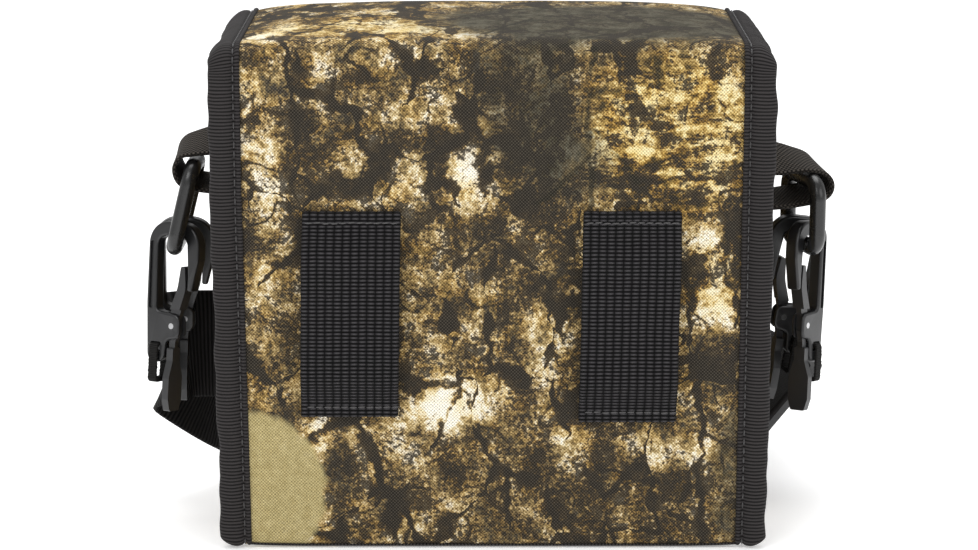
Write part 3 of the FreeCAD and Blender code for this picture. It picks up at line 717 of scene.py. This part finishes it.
def stitches(name, places, length=2.3, radius=0.32):
    """Short raised stitches at (middle, direction) pairs, in millimetres."""
    vertices, faces = [], []
    for middle, direction in places:
        along = Vector(direction).normalized()
        side = along.orthogonal().normalized()
        other = along.cross(side)
        base = len(vertices)
        for share, fat in ((-0.5, 0.25), (-0.3, 0.9), (0.0, 1.0), (0.3, 0.9), (0.5, 0.25)):
            for turn in range(6):
                angle = turn * math.pi / 3
                ring = side * math.cos(angle) + other * math.sin(angle)
                centre = Vector(middle) + along * (share * length)
                vertices.append((centre + ring * (radius * fat)) * MM)
        for level in range(4):
            for turn in range(6):
                nxt = (turn + 1) % 6
                a, b = base + level * 6, base + level * 6 + 6
                faces.append((a + turn, a + nxt, b + nxt, b + turn))
        faces.append(tuple(base + turn for turn in range(5, -1, -1)))
        faces.append(tuple(base + 24 + turn for turn in range(6)))
    return show(name, smooth_mesh(name, vertices, faces, THREAD))


# -------- harness strap

# The same route as the strap's solid, in metres, as control points of one smooth line. The
# middle part, on edge over the floor, is given as (x, y) pairs.
FLOOR_LINE = 0.0193
STRAP_FLOOR = [
    (-0.052, 0.077), (0.000, 0.073), (0.050, 0.076), (0.077, 0.079), (0.078, 0.093), (0.050, 0.093),
    (0.000, 0.089), (-0.048, 0.092), (-0.074, 0.095), (-0.075, 0.109), (-0.048, 0.110), (0.000, 0.105),
    (0.046, 0.108), (0.070, 0.110), (0.072, 0.125), (0.046, 0.125), (0.000, 0.121), (-0.048, 0.124),
    (-0.070, 0.126), (-0.071, 0.141), (-0.044, 0.141), (0.002, 0.137), (0.052, 0.140), (0.084, 0.133),
]
STRAP_ROUTE = [
    (-0.087, 0.014, 0.0555), (-0.100, 0.0135, 0.056), (-0.1125, 0.0145, 0.055), (-0.1135, 0.028, 0.0475),
    (-0.104, 0.034, 0.038), (-0.097, 0.044, 0.029), (-0.094, 0.058, 0.0225), (-0.082, 0.073, 0.0197),
    *((x, y, FLOOR_LINE) for x, y in STRAP_FLOOR),
    (0.098, 0.112, 0.021), (0.098, 0.084, 0.026), (0.0975, 0.059, 0.031),
]
STRAP_HALF, STRAP_HALF_THICK = 19.0, 0.9
SLIDER_LEAN = Vector((0.626, 0, 0.78)).normalized()


def smooth_line(name, points, spacing=2.5):
    """Evenly spaced points, in millimetres, along a NURBS line through control points."""
    data = bpy.data.curves.new(name, "CURVE")
    data.dimensions = "3D"
    spline = data.splines.new("NURBS")
    spline.points.add(len(points) - 1)
    for control, place in zip(spline.points, points):
        control.co = (*place, 1)
    spline.order_u = 3
    spline.use_endpoint_u = True
    spline.resolution_u = 16
    holder = bpy.data.objects.new(name, data)
    mesh = bpy.data.meshes.new_from_object(holder)
    path = Path([v.co.copy() / MM for v in mesh.vertices])
    bpy.data.objects.remove(holder)
    bpy.data.curves.remove(data)
    bpy.data.meshes.remove(mesh)
    return [path.at(s) for s in spread(0, path.length, spacing)]


def strap_frames(line, lean_from):
    """Across and out directions that keep the strap on edge, leaning near the slider."""
    table = []
    for i in range(len(line)):
        heading = line_heading(line, i)
        share = (i - lean_from) / max(1, len(line) - 1 - lean_from)
        up = Z_AXIS.lerp(SLIDER_LEAN, eased(share))
        across = (up - heading * up.dot(heading)).normalized()
        table.append((across, heading.cross(across).normalized()))
    return lambda i: table[i]


# The strap's last run, through the slider, and how many points it leans over towards it.
STRAP_TAIL = [(0.0972, 0.040, 0.031), (0.0978, 0.011, 0.031)]
LEAN_STEPS = 42
strap_line = smooth_line("strap_route", STRAP_ROUTE + STRAP_TAIL)
strap_frame = strap_frames(strap_line, len(strap_line) - LEAN_STEPS)
strap_section = rounded_strip(STRAP_HALF, STRAP_HALF_THICK)
strap = ribbon("harness_webbing", strap_line, strap_section, strap_frame, STRAP_WEBBING_SHADED)
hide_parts("harness_strap", "strap_end")
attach(strap, PACK)


# -------- cloth shell of back and lid

PROFILE = rounded_path([
    (BACK + 2, 0.2, 0.0), (BACK, 0.2, 1.8), (BACK, TOP, 6.5), (FRONT, TOP + 2.6, 8.5),
    (FRONT, FLAP_LOW, 0.0),
])
CREASE = TOP + 0.5
HALF_CLOTH = 81.8


def lid_share(along):
    """0 on the back and 1 on the lid, changing evenly round the crease between them."""
    return min(1.0, max(0.0, (along - CREASE + 12) / 18))


def shell_point(across, along):
    """A place on the shell's outer face, softly crowned and a little uneven."""
    place, out = PROFILE.point_and_normal(along, 1.2)
    edge = 1 - (abs(across) / HALF_CLOTH) ** 4
    top = max(0.0, 1 - ((along - CREASE - 52) / 52) ** 2)
    crown = edge * (0.25 + 2.7 * top)
    uneven = wander((across, along, 0), 34, 0.35) * edge + wander((across, along, 0), 13, 0.12, 5.0)
    droop = 0.9 * lid_share(along) * (abs(across) / HALF_CLOTH) ** 12
    offset = crown + uneven - droop
    return across, place.x + out.x * offset, max(0.1, place.y + out.y * offset)


shell_columns = spread(-HALF_CLOTH, HALF_CLOTH, 2.0)
shell = surface("shell_cloth", shell_columns, spread(0, PROFILE.length, 1.5), shell_point, CAMO)
thicken(shell, 1.2, inside=LINING)
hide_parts("back_panel", "lid_panel")
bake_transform(shell)


# -------- edge tapes

# The folded tape's section: distance out from the pack's middle, and height off the cloth.
TAPE_SECTION = [
    (80.6, 0.1), (80.9, 0.95), (81.9, 1.15), (82.8, 0.2), (83.7, 1.3), (85.4, 2.2), (87.2, 2.4),
    (89.0, 1.9), (90.4, 0.8), (90.9, -0.7), (90.0, -2.2), (87.4, -2.9), (84.4, -2.9), (82.4, -2.6),
    (82.0, -1.6), (81.4, -0.9),
]
# Where the seam's groove is, out from the pack's middle.
SEAM_AT = 82.8


def smooth_ring(points, count):
    """A closed Catmull-Rom ring through the points."""
    out = []
    size = len(points)
    for i in range(size):
        a, b, c, d = (Vector(points[(i + k) % size]) for k in (-1, 0, 1, 2))
        for step in range(count):
            t = step / count
            square = 2 * a - 5 * b + 4 * c - d
            cube = 3 * b - a - 3 * c + d
            out.append(0.5 * ((2 * b) + (c - a) * t + square * t * t + cube * t ** 3))
    return out


def bottom_piping():
    """A thin black cord sewn along the back's bottom edge, showing at its ends."""
    line = []
    for x in spread(-81, 81, 1.5):
        lift = 0.5 * max(0.0, (abs(x) - 60) / 21) ** 2
        line.append(Vector((x, BACK + 0.1, 0.5 + lift)))
    turns = [k * math.pi / 5 for k in range(10)]
    outline = [(0.4 * math.cos(turn), 0.4 * math.sin(turn)) for turn in turns]
    piping = ribbon("bottom_piping", line, outline, lambda i: (Z_AXIS, -Y_AXIS), TAPE)
    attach(piping, PACK)


bottom_piping()


def tape_slip(sign, height):
    """How far the tape sits in from its even line, most at the lower left."""
    return (1.3 if sign < 0 else 0.3) * max(0.0, 1 - height / 120) - 0.4


def edge_tape(side, sign):
    """The folded tape and its seam, up one edge of the back and on round the lid."""
    section = smooth_ring(TAPE_SECTION, 2)

    def point(column, row):
        across, height = section[int(column)]
        outer = max(0.0, (across - 80) / 10)
        sway = wander((row, sign * 40, 0), 26, 0.9, 3.0) + wander((row, sign * 9, 1), 8, 0.6)
        across += outer * sway
        rib = ridge(0.11, row, TAPE_RIB) if height > -1 else 0
        height += outer * wander((row, sign * 70, 2), 19, 0.5) + rib
        place, out = PROFILE.point_and_normal(row, 3.0)
        droop = (0.8 + 4.8 * outer ** 1.2) * eased(lid_share(row))
        foot = (0.9 + 2.0 * outer ** 2) * max(0.0, 1 - place.y / 5) ** 2
        across -= tape_slip(sign, place.y)
        up = max(0.15, place.y + out.y * height + foot - droop)
        return sign * across, place.x + out.x * height, up

    arc = [0.0]
    for a, b in zip(section, section[1:] + section[:1]):
        arc.append(arc[-1] + (b - a).length)

    def texture(column, row):
        return arc[int(column)], row

    rows = spread(0.3, PROFILE.length - 0.5, TAPE_RIB / 4)
    tape = tube("edge_tape_" + side, section, rows, point, texture)
    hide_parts("back_binding_" + side, "lid_binding_" + side)
    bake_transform(tape)
    places = []
    for row in spread(3, PROFILE.length - 4, STITCH_PITCH):
        place, out = PROFILE.point_and_normal(row, 3.0)
        heading = PROFILE.heading(row)
        sink = 1.5 * eased(lid_share(row))
        x = sign * (SEAM_AT - tape_slip(sign, place.y))
        spot = (x, place.x + out.x * 0.5, place.y + out.y * 0.5 - sink)
        places.append((spot, (0, heading.x, heading.y)))
    seam = stitches("edge_thread_" + side, places, 2.2, 0.24)
    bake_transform(seam)


edge_tape("left", -1)
edge_tape("right", 1)


# -------- body cloth, base and lining

BODY_CORNER = 6.0
BODY = rounded_path([
    (-WALL + 0.3, BACK + 1.0, 0.0), (-WALL, BODY_FRONT, BODY_CORNER),
    (WALL, BODY_FRONT, BODY_CORNER), (WALL - 0.3, BACK + 1.0, 0.0),
])


def body_point(along, height):
    """A place on the sides and front, which bulge a little between their edges."""
    place, out = BODY.point_and_normal(along, 3.0)
    share = height / MOUTH
    swell = max(0.0, math.sin(math.pi * min(1, max(0, share))))
    on_side = min(1.0, max(0.0, (abs(place.x) - WALL + 9) / 9))
    uneven = wander((along, height, 0), 28, 0.45, 9.0) * on_side * swell
    bulge = swell * (1.3 * on_side + 0.1) + uneven
    tuck = 2.2 * max(0.0, 1 - height / 4) ** 2
    offset = bulge - tuck - 0.2
    return place.x + out.x * offset, place.y + out.y * offset, height


# The columns run backwards so that the faces look outward.
body_columns = spread(BODY.length, 0, 1.5)
body_cloth = surface("body_cloth", body_columns, spread(0.6, MOUTH - 0.6, 2.0), body_point, CAMO_BODY)
thicken(body_cloth, 1.0, inside=LINING)
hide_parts("gusset_left", "gusset_right", "front_panel")
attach(body_cloth, PACK)


def base_point(across, along):
    """A place under the base, which lifts a little towards its edges."""
    edge_x = max(0.0, abs(across) - 74) / 6
    edge_y = max(0.0, abs(along + 2) - 33) / 6
    lift = 1.2 * (edge_x ** 2 + edge_y ** 2)
    return across, along, 0.15 + lift + 0.25 * abs(wander((across, along, 0), 20, 1.0))


base_rows = spread(BACK + 2, BODY_FRONT - 1, 3)
base = surface("base_cloth", spread(-79, 79, 3), base_rows, base_point, SIDE_CLOTH)
thicken(base, 0.9, 1.0)
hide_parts("base_panel")
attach(base, PACK)


def lining_path(inset):
    """A closed outline just inside the lining's solid."""
    x = LINING_HIGH.x / MM - inset
    low, high = LINING_LOW.y / MM + inset, LINING_HIGH.y / MM - inset
    corners = [(-x, low, 7), (-x, high, 7), (x, high, 7), (x, low, 7)]
    return rounded_path([(0, low, 0), *corners, (0, low, 0)], 2.0)


def lining():
    """The soft inner wall and floor."""
    path = lining_path(0.4)
    low, high = LINING_LOW.z / MM, LINING_HIGH.z / MM - 1.2

    def point(along, height):
        place, out = path.point_and_normal(along, 3.0)
        soft = wander((along, height, 0), 18, 0.5, 2.0)
        foot = 3.0 * max(0.0, 1 - (height - low) / 6) ** 2
        offset = -foot - 0.5 - abs(soft)
        return place.x + out.x * offset, place.y + out.y * offset, height

    around = spread(0, path.length, 3)[:-1]
    wall = surface("lining_wall", around, spread(low + 1, high, 3), point, LINING, loop=True)
    thicken(wall, 0.8, 1.0)
    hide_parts("lining")
    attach(wall, PACK)

    def floor(across, along):
        return across, along, low + 1.4 + 0.3 * abs(wander((across, along, 3), 15, 1.0))

    columns = spread(-LINING_HIGH.x / MM + 2.5, LINING_HIGH.x / MM - 2.5, 4)
    rows = spread(LINING_LOW.y / MM + 2.5, LINING_HIGH.y / MM - 2.5, 4)
    bottom = surface("lining_floor", columns, rows, floor, LINING)
    thicken(bottom, 0.8)
    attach(bottom, PACK)


lining()


def mouth_tape():
    """Folded tape over the top edge of the sides and the front."""
    top = MOUTH - 0.2
    section = smooth_ring([
        (0.7, -7.0), (0.9, -3.5), (0.7, -0.6), (-0.6, 0.0), (-2.2, -0.6), (-2.6, -3.5), (-2.5, -7.0),
        (-0.8, -6.4),
    ], 2)
    front_extra = BODY_FRONT - LINING_HIGH.y / MM - 2.4

    def point(column, row):
        out_distance, height = section[int(column)]
        place, out = BODY.point_and_normal(row, 3.0)
        if out_distance < -0.7:
            out_distance -= front_extra * max(0.0, out.y)
        offset = out_distance + ridge(0.08, row, TAPE_RIB)
        return place.x + out.x * offset, place.y + out.y * offset, top + height

    rows = spread(0.5, BODY.length - 0.5, TAPE_RIB / 2)
    tape = tube("mouth_tape", section, rows, point, lambda column, row: (column * 0.6, row))
    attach(tape, PACK)


mouth_tape()


# -------- lid lining, hem, closure and tab


def lid_lining():
    """The brushed lining under the lid and the flap."""
    start = CREASE - 9

    def point(across, along):
        place, out = PROFILE.point_and_normal(along, 2.5)
        uneven = 0.3 * abs(wander((across, along, 4), 16, 1.0))
        depth = 1.5 + 1.5 * min(1, max(0, (along - start) / 14)) - uneven
        return across, place.x - out.x * depth, place.y - out.y * depth

    rows = spread(start, PROFILE.length - 0.5, 2)
    sheet = surface("lid_lining", spread(-79.5, 79.5, 3), rows, point, LINING)
    thicken(sheet, 0.6, 1.0)
    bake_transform(sheet)


lid_lining()


def flap_hem():
    """The tape folded over the flap's lower edge, and its seam."""
    low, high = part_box("flap_hem")
    middle_y, middle_z = (low.y + high.y) / 2 / MM, (low.z + high.z) / 2 / MM
    half_y, half_z = (high.y - low.y) / 2 / MM, (high.z - low.z) / 2 / MM + 0.4
    section = smooth_ring([
        (-half_y, half_z), (-half_y - 0.1, 0), (-half_y, -half_z + 1.4), (-half_y + 1.4, -half_z),
        (half_y - 1.4, -half_z), (half_y, -half_z + 1.4), (half_y + 0.1, 0), (half_y, half_z),
        (0, half_z - 0.4),
    ], 2)

    def point(column, row):
        y, z = section[int(column)]
        sag = wander((row, 0, 0), 40, 0.5, 7.0)
        return row, middle_y + y * (1 + ridge(0.05, row, TAPE_RIB)), middle_z + z + sag

    rows = spread(low.x / MM + 0.6, high.x / MM - 0.6, TAPE_RIB / 2)
    hem = tube("hem_tape", section, rows, point, lambda column, row: (column * 0.8, row))
    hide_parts("flap_hem")
    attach(hem, LID)
    y, z = high.y / MM + 0.15, middle_z + half_z - 1.6
    seam = stitches("hem_thread", [((x, y, z), (1, 0, 0)) for x in spread(-86, 86, STITCH_PITCH)])
    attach(seam, LID)


flap_hem()


def patch(node, name, material, grain, body):
    """A sewn pad of hook or loop tape with a raised pile."""
    low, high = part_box(node)
    face = high.y if body == PACK else low.y
    sign = 1 if body == PACK else -1
    half = (high.x - low.x) / 2 / MM

    def point(across, height):
        edge = min(half - abs(across), height - low.z / MM, high.z / MM - height)
        pile_height = 0.35 * min(1.0, max(0.0, edge - 1.5))
        tuft = abs(wander((across, height, grain), 1.6, 0.3))
        return across, face / MM - sign * (0.35 - pile_height * 0.6 - tuft * 0.3), height

    rows = spread(low.z / MM, high.z / MM, 0.8)
    made = surface(name, spread(-half, half, 0.8), rows, point, material)
    thicken(made, 0.35, -1.0 if body == LID else 1.0)
    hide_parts(node)
    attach(made, body)


patch("closure_hook_patch", "flap_fastener", HOOK_PILE, 1.0, LID)
patch("closure_loop_patch", "front_fastener", LOOP_PILE, 2.0, PACK)


TAB_HALF, TAB_HALF_THICK = 10.0, 0.75


def pull_tab():
    """A webbing loop folded under the flap's lower edge, and its two seams."""
    low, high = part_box("pull_tab")
    x = (high.x - low.x) / 2 / MM
    y0, y1 = low.y / MM, high.y / MM
    z0, z1 = low.z / MM, high.z / MM
    front, rear, bend = y1 - 0.8, y0 + 0.8, z0 + 2.0
    fold = [Vector((0, front, bend)), Vector((0, (y0 + y1) / 2, z0 + 0.4)), Vector((0, rear, bend))]
    front_top, rear_top = Vector((0, front, z1)), Vector((0, rear, z1))
    line = [
        front_top, front_top.lerp(fold[0], 0.6), *fold, fold[2].lerp(rear_top, 0.4), rear_top,
    ]
    fine = smooth_line("tab_route", [place * MM for place in line], 0.8)

    def frames(i):
        return X_AXIS, line_heading(fine, i).cross(X_AXIS)

    made = ribbon("pull_webbing", fine, rounded_strip(x, TAB_HALF_THICK), frames, TAB_WEBBING)
    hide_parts("pull_tab")
    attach(made, LID)
    rows = [((dx, y1 + 0.05, z), (1, 0, 0)) for z in (z1 - 2, z1 - 8) for dx in spread(-x + 3, x - 3, 3.0)]
    seam = stitches("pull_thread", rows)
    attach(seam, LID)


pull_tab()


# -------- belt loops

# How far a belt loop stands off the back at its middle.
LOOP_SPACE = 4.4


def belt_loop(side, sign):
    """Ribbed webbing, folded under and sewn at both ends, bowed out between them."""
    low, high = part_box("belt_loop_" + side)
    middle = (low.x + high.x) / 2 / MM
    half = (high.x - low.x) / 2 / MM
    bottom, top = low.z / MM - (0.8 if sign < 0 else 2.6), high.z / MM
    base_y = BACK - 0.9
    bowed = base_y - 1.0 - LOOP_SPACE
    path = rounded_path([
        (base_y + 0.3, bottom - 0.2, 0), (base_y - 1.5, bottom - 0.2, 0.7), (base_y - 1.7, bottom + 5, 3.0),
        (bowed, bottom + 13, 9.0), (bowed, top - 13, 9.0), (base_y - 1.7, top - 5, 3.0),
        (base_y - 1.5, top + 0.2, 0.7), (base_y + 0.3, top + 0.2, 0),
    ], 0.6)

    def point(column, row):
        place, out = path.point_and_normal(row, 0.8)
        lane = ridge(1.0, column, LOOP_COLUMN) ** 0.5
        edge = min(1.0, (half - abs(column)) / 0.9)
        rib = ridge(0.24, row, LOOP_RIB) * (0.35 + 0.65 * lane)
        height = rib - 0.45 * (1 - max(0.0, edge)) ** 2
        slack = wander((row, sign * 5, 0), 22, 0.35, 4.0)
        lean = 1.2 * (place.y - top) / (top - bottom)
        x = middle + column + lean + slack * (0.6 if column > 0 else -0.3)
        return x, place.x + out.x * height, place.y + out.y * height

    columns, rows = spread(-half, half, 0.45), spread(0, path.length, LOOP_RIB / 5)
    loop = surface("loop_webbing_" + side, columns, rows, point, LOOP_WEBBING)
    thicken(loop, 1.4)
    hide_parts("belt_loop_" + side)
    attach(loop, PACK)
    places = []
    for height in (bottom + 3.2, top - 3.2):
        for dx in spread(-half + 2.2, half - 2.2, 2.9):
            up = height + wander((dx, height, 0), 3, 0.25)
            places.append(((middle + dx, base_y - 1.75, up), (1, 0, 0.05)))
    seam = stitches("loop_thread_" + side, places, 2.4, 0.3)
    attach(seam, PACK)


belt_loop("left", -1)
belt_loop("right", 1)


# -------- side tabs

# Each tab's loop round its ring: distance out from the ring's rod, height over the rod, and
# how far the strip's rear edge droops, in degrees.
TABS = {
    "left": [
        (-20.8, 9.0, 20), (-12, 8.6, 20), (-6, 8.0, 20), (-1, 7.0, 15), (4.4, 5.6, 11), (6.6, 0.5, 8),
        (4.6, -4.8, 8), (-1, -6.3, 8), (-10, -7.2, 6), (-20.8, -8.0, 4),
    ],
    "right": [
        (-26, 7.5, 24), (-17, 7.2, 25), (-9, 7.0, 25), (-2, 6.2, 15), (4.4, 4.5, 10), (7.4, -0.2, 8),
        (5.4, -4.9, 8), (-2, -6.3, 8), (-12, -7.2, 6), (-26, -8.0, 4),
    ],
}
RING_PIVOTS = {"left": Vector((-100.3, 0, 121.7)), "right": Vector((105.5, 0, 117.0))}
RING_TURNS = {"left": 0.0, "right": math.radians(14)}


def side_tab(side, sign):
    """Webbing sewn into the side seam that goes out round the ring's rod and back."""
    turn = RING_TURNS[side] * sign
    rod = Vector((-math.sin(turn), math.cos(turn), 0))
    out = Vector((math.cos(turn), math.sin(turn), 0)) * sign
    pivot, shape = RING_PIVOTS[side], TABS[side]
    route = [(pivot + out * a + Z_AXIS * b) * MM for a, b, _ in shape]
    line = smooth_line("tab_route", route, 0.7)

    def frames(i):
        heading = line_heading(line, i)
        share = i / (len(line) - 1) * (len(shape) - 1)
        low = min(int(share), len(shape) - 2)
        before, after = shape[low][2], shape[low + 1][2]
        droop = math.radians(before + (after - before) * (share - low))
        along = rod + Z_AXIS * math.tan(droop)
        along = (along - heading * along.dot(heading)).normalized()
        return along, heading.cross(along).normalized()

    section = rounded_strip(TAB_HALF, TAB_HALF_THICK)
    tab = ribbon("tab_webbing_" + side, line, section, frames, TAB_WEBBING)
    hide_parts("side_tab_" + side)
    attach(tab, PACK)


side_tab("left", -1)
side_tab("right", 1)


# -------- carried-over CAD pieces

HOOKS = ("left_inner", "left_outer", "right_inner", "right_outer")
for hook in HOOKS:
    give("hook_body_" + hook, HOOK_PLASTIC)
    give("gate_" + hook, HOOK_PLASTIC)
    give("gate_pin_" + hook, STEEL)
    give("gate_spring_" + hook, SPRING)
give("ring_left", RING_PLASTIC)
give("ring_right", RING_PLASTIC)
give("slider", SLIDER_PLASTIC)
give("base_board", BOARD)


def box_corners(node):
    """The low and high corners of a CAD node's box, in millimetres."""
    return [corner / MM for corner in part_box(node)]


def foam_pad(node, name):
    """A thin foam pad, crowned in its middle and pulled in round its edges."""
    low, high = box_corners(node)
    middle, half = (low + high) / 2, (high - low) / 2
    reach = half.x - 4.5
    line = [Vector((0, middle.y, z)) for z in spread(low.z + 2, high.z - 2, 2.5)]
    pad = ribbon(name, line, rounded_strip(reach, half.y, 2), lambda i: (X_AXIS, Y_AXIS), FOAM)
    for vertex in pad.data.vertices:
        place = vertex.co / MM
        edge = min(reach - abs(place.x), place.z - low.z - 2, high.z - 2 - place.z)
        full = 0.55 + 0.41 * min(1.0, max(0.0, edge) / 14) ** 0.5
        soft = wander(place, 24, 0.1, 3.0)
        vertex.co.y = (middle.y + (place.y - middle.y) * full + soft) * MM
    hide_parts(node)
    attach(pad, PACK)


foam_pad("back_foam", "back_pad")
foam_pad("front_foam", "front_pad")


def hook_loop(hook):
    """The narrow tape loop under a hook: the solid's shape with soft edges and ribs."""
    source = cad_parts["hook_tape_" + hook]
    made = show("hook_loop_" + hook, source.data.copy())
    remesh = made.modifiers.new("remesh", "REMESH")
    remesh.mode, remesh.voxel_size = "VOXEL", 0.32 * MM
    smooth = made.modifiers.new("smooth", "SMOOTH")
    smooth.factor, smooth.iterations = 0.5, 4
    bpy.context.view_layer.update()
    settle(made)
    for vertex in made.data.vertices:
        rib = math.sin(vertex.co.z / MM * 2 * math.pi / 1.2)
        loose = wander(vertex.co / MM, 5, 0.12, 6.0)
        vertex.co += vertex.normal * (0.05 * rib + loose) * MM
    soften(made.data)
    made.data.materials.clear()
    made.data.materials.append(HOOK_TAPE)
    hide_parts("hook_tape_" + hook)
    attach(made, "hook_" + hook)


for hook in HOOKS:
    hook_loop(hook)


# The direction in which the strap passes through the slider.
STRAP_RUN = Vector((-0.0368, 0.9989, 0.0296))


def slider_weave():
    """The strap's loop up through the slider, over its middle bar and down again."""
    low, high = box_corners("slider")
    centre = (low + high) / 2
    run = STRAP_RUN.normalized()
    wide = (SLIDER_LEAN - run * SLIDER_LEAN.dot(run)).normalized()
    face = run.cross(wide).normalized()
    rise = [
        (-9.5, -1.7), (-7, -1.5), (-4.6, 0.8), (-2.8, 3.3), (0, 3.9), (2.8, 3.3), (4.6, 0.8),
        (7, -1.5), (9.5, -1.7),
    ]
    line = smooth_line("weave_route", [(centre + run * a + face * b) * MM for a, b in rise], 0.6)

    def frames(i):
        return wide, line_heading(line, i).cross(wide).normalized()

    weave = ribbon("slider_webbing", line, rounded_strip(18.6, 0.65), frames, STRAP_WEBBING_SHADED)
    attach(weave, "slider")


slider_weave()


def strap_band():
    """The hook-and-loop band round the folded strap, with its end overlapped on top."""
    low, high = box_corners("strap_tie")
    path = rounded_path([
        (low.y + 9, high.z - 0.9, 0), (high.y - 0.6, high.z - 1.3, 5), (high.y - 0.6, low.z + 0.4, 4),
        (low.y + 0.6, low.z + 0.4, 4), (low.y + 0.6, high.z - 1.1, 5), (low.y + 38, high.z - 0.1, 0),
    ], 1.0)

    def point(across, along):
        place, out = path.point_and_normal(along, 2.0)
        edge = min(1.0, (9 - abs(across)) / 1.2)
        offset = wander((across, along, 0), 14, 0.35, 8.0) * 0.5 - 0.25 * (1 - edge)
        return across, place.x + out.x * offset, max(0.1, place.y + out.y * offset)

    band = surface("strap_band", spread(-9, 9, 0.75), spread(0, path.length, 1.0), point, LOOP_PILE)
    thicken(band, 0.8)
    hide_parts("strap_tie")
    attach(band, PACK)


strap_band()
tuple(STRAP_ROUTE[0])


# -------- floor and light

FLOOR_REACH, FLOOR_Z = 12, -0.0005
FLOOR_GLOW, WORLD_STRENGTH = 0.3, 0.62
WHITE = (1, 1, 1, 1)

floor_mesh = bpy.data.meshes.new("floor")
floor_corners = [(x * FLOOR_REACH, y * FLOOR_REACH, FLOOR_Z) for x, y in ((-1, -1), (1, -1), (1, 1), (-1, 1))]
floor_mesh.from_pydata(floor_corners, [], [(0, 1, 2, 3)])
floor = show("floor", floor_mesh)
floor_graph = Graph("floor_white", 0.9, Emission_Color=WHITE, Emission_Strength=FLOOR_GLOW)
floor_mesh.materials.append(floor_graph.finish((0.94, 0.94, 0.94)))


def lamp(name, place, aim, size, power):
    """A soft lamp of size metres and power watts at a place, turned to its aim."""
    data = bpy.data.lights.new(name, "AREA")
    data.shape = "RECTANGLE"
    data.size, data.size_y = size
    data.energy = power
    made = show(name, data)
    made.location = place
    made.rotation_euler = (Vector(aim) - Vector(place)).to_track_quat("-Z", "Y").to_euler()


lamp("key", (-0.9, -1.3, 1.5), (0, 0, 0.08), (1.1, 1.1), 14)
lamp("fill", (1.2, -1.1, 0.9), (0, 0, 0.08), (1.2, 1.0), 7)
lamp("top", (0.0, 0.5, 1.7), (0, 0, 0.1), (1.6, 1.2), 20)
world = bpy.data.worlds.new("world")
world.use_nodes = True
background = world.node_tree.nodes["Background"]
background.inputs["Color"].default_value = WHITE
background.inputs["Strength"].default_value = WORLD_STRENGTH
scene.world = world
scene.view_settings.view_transform = "Standard"
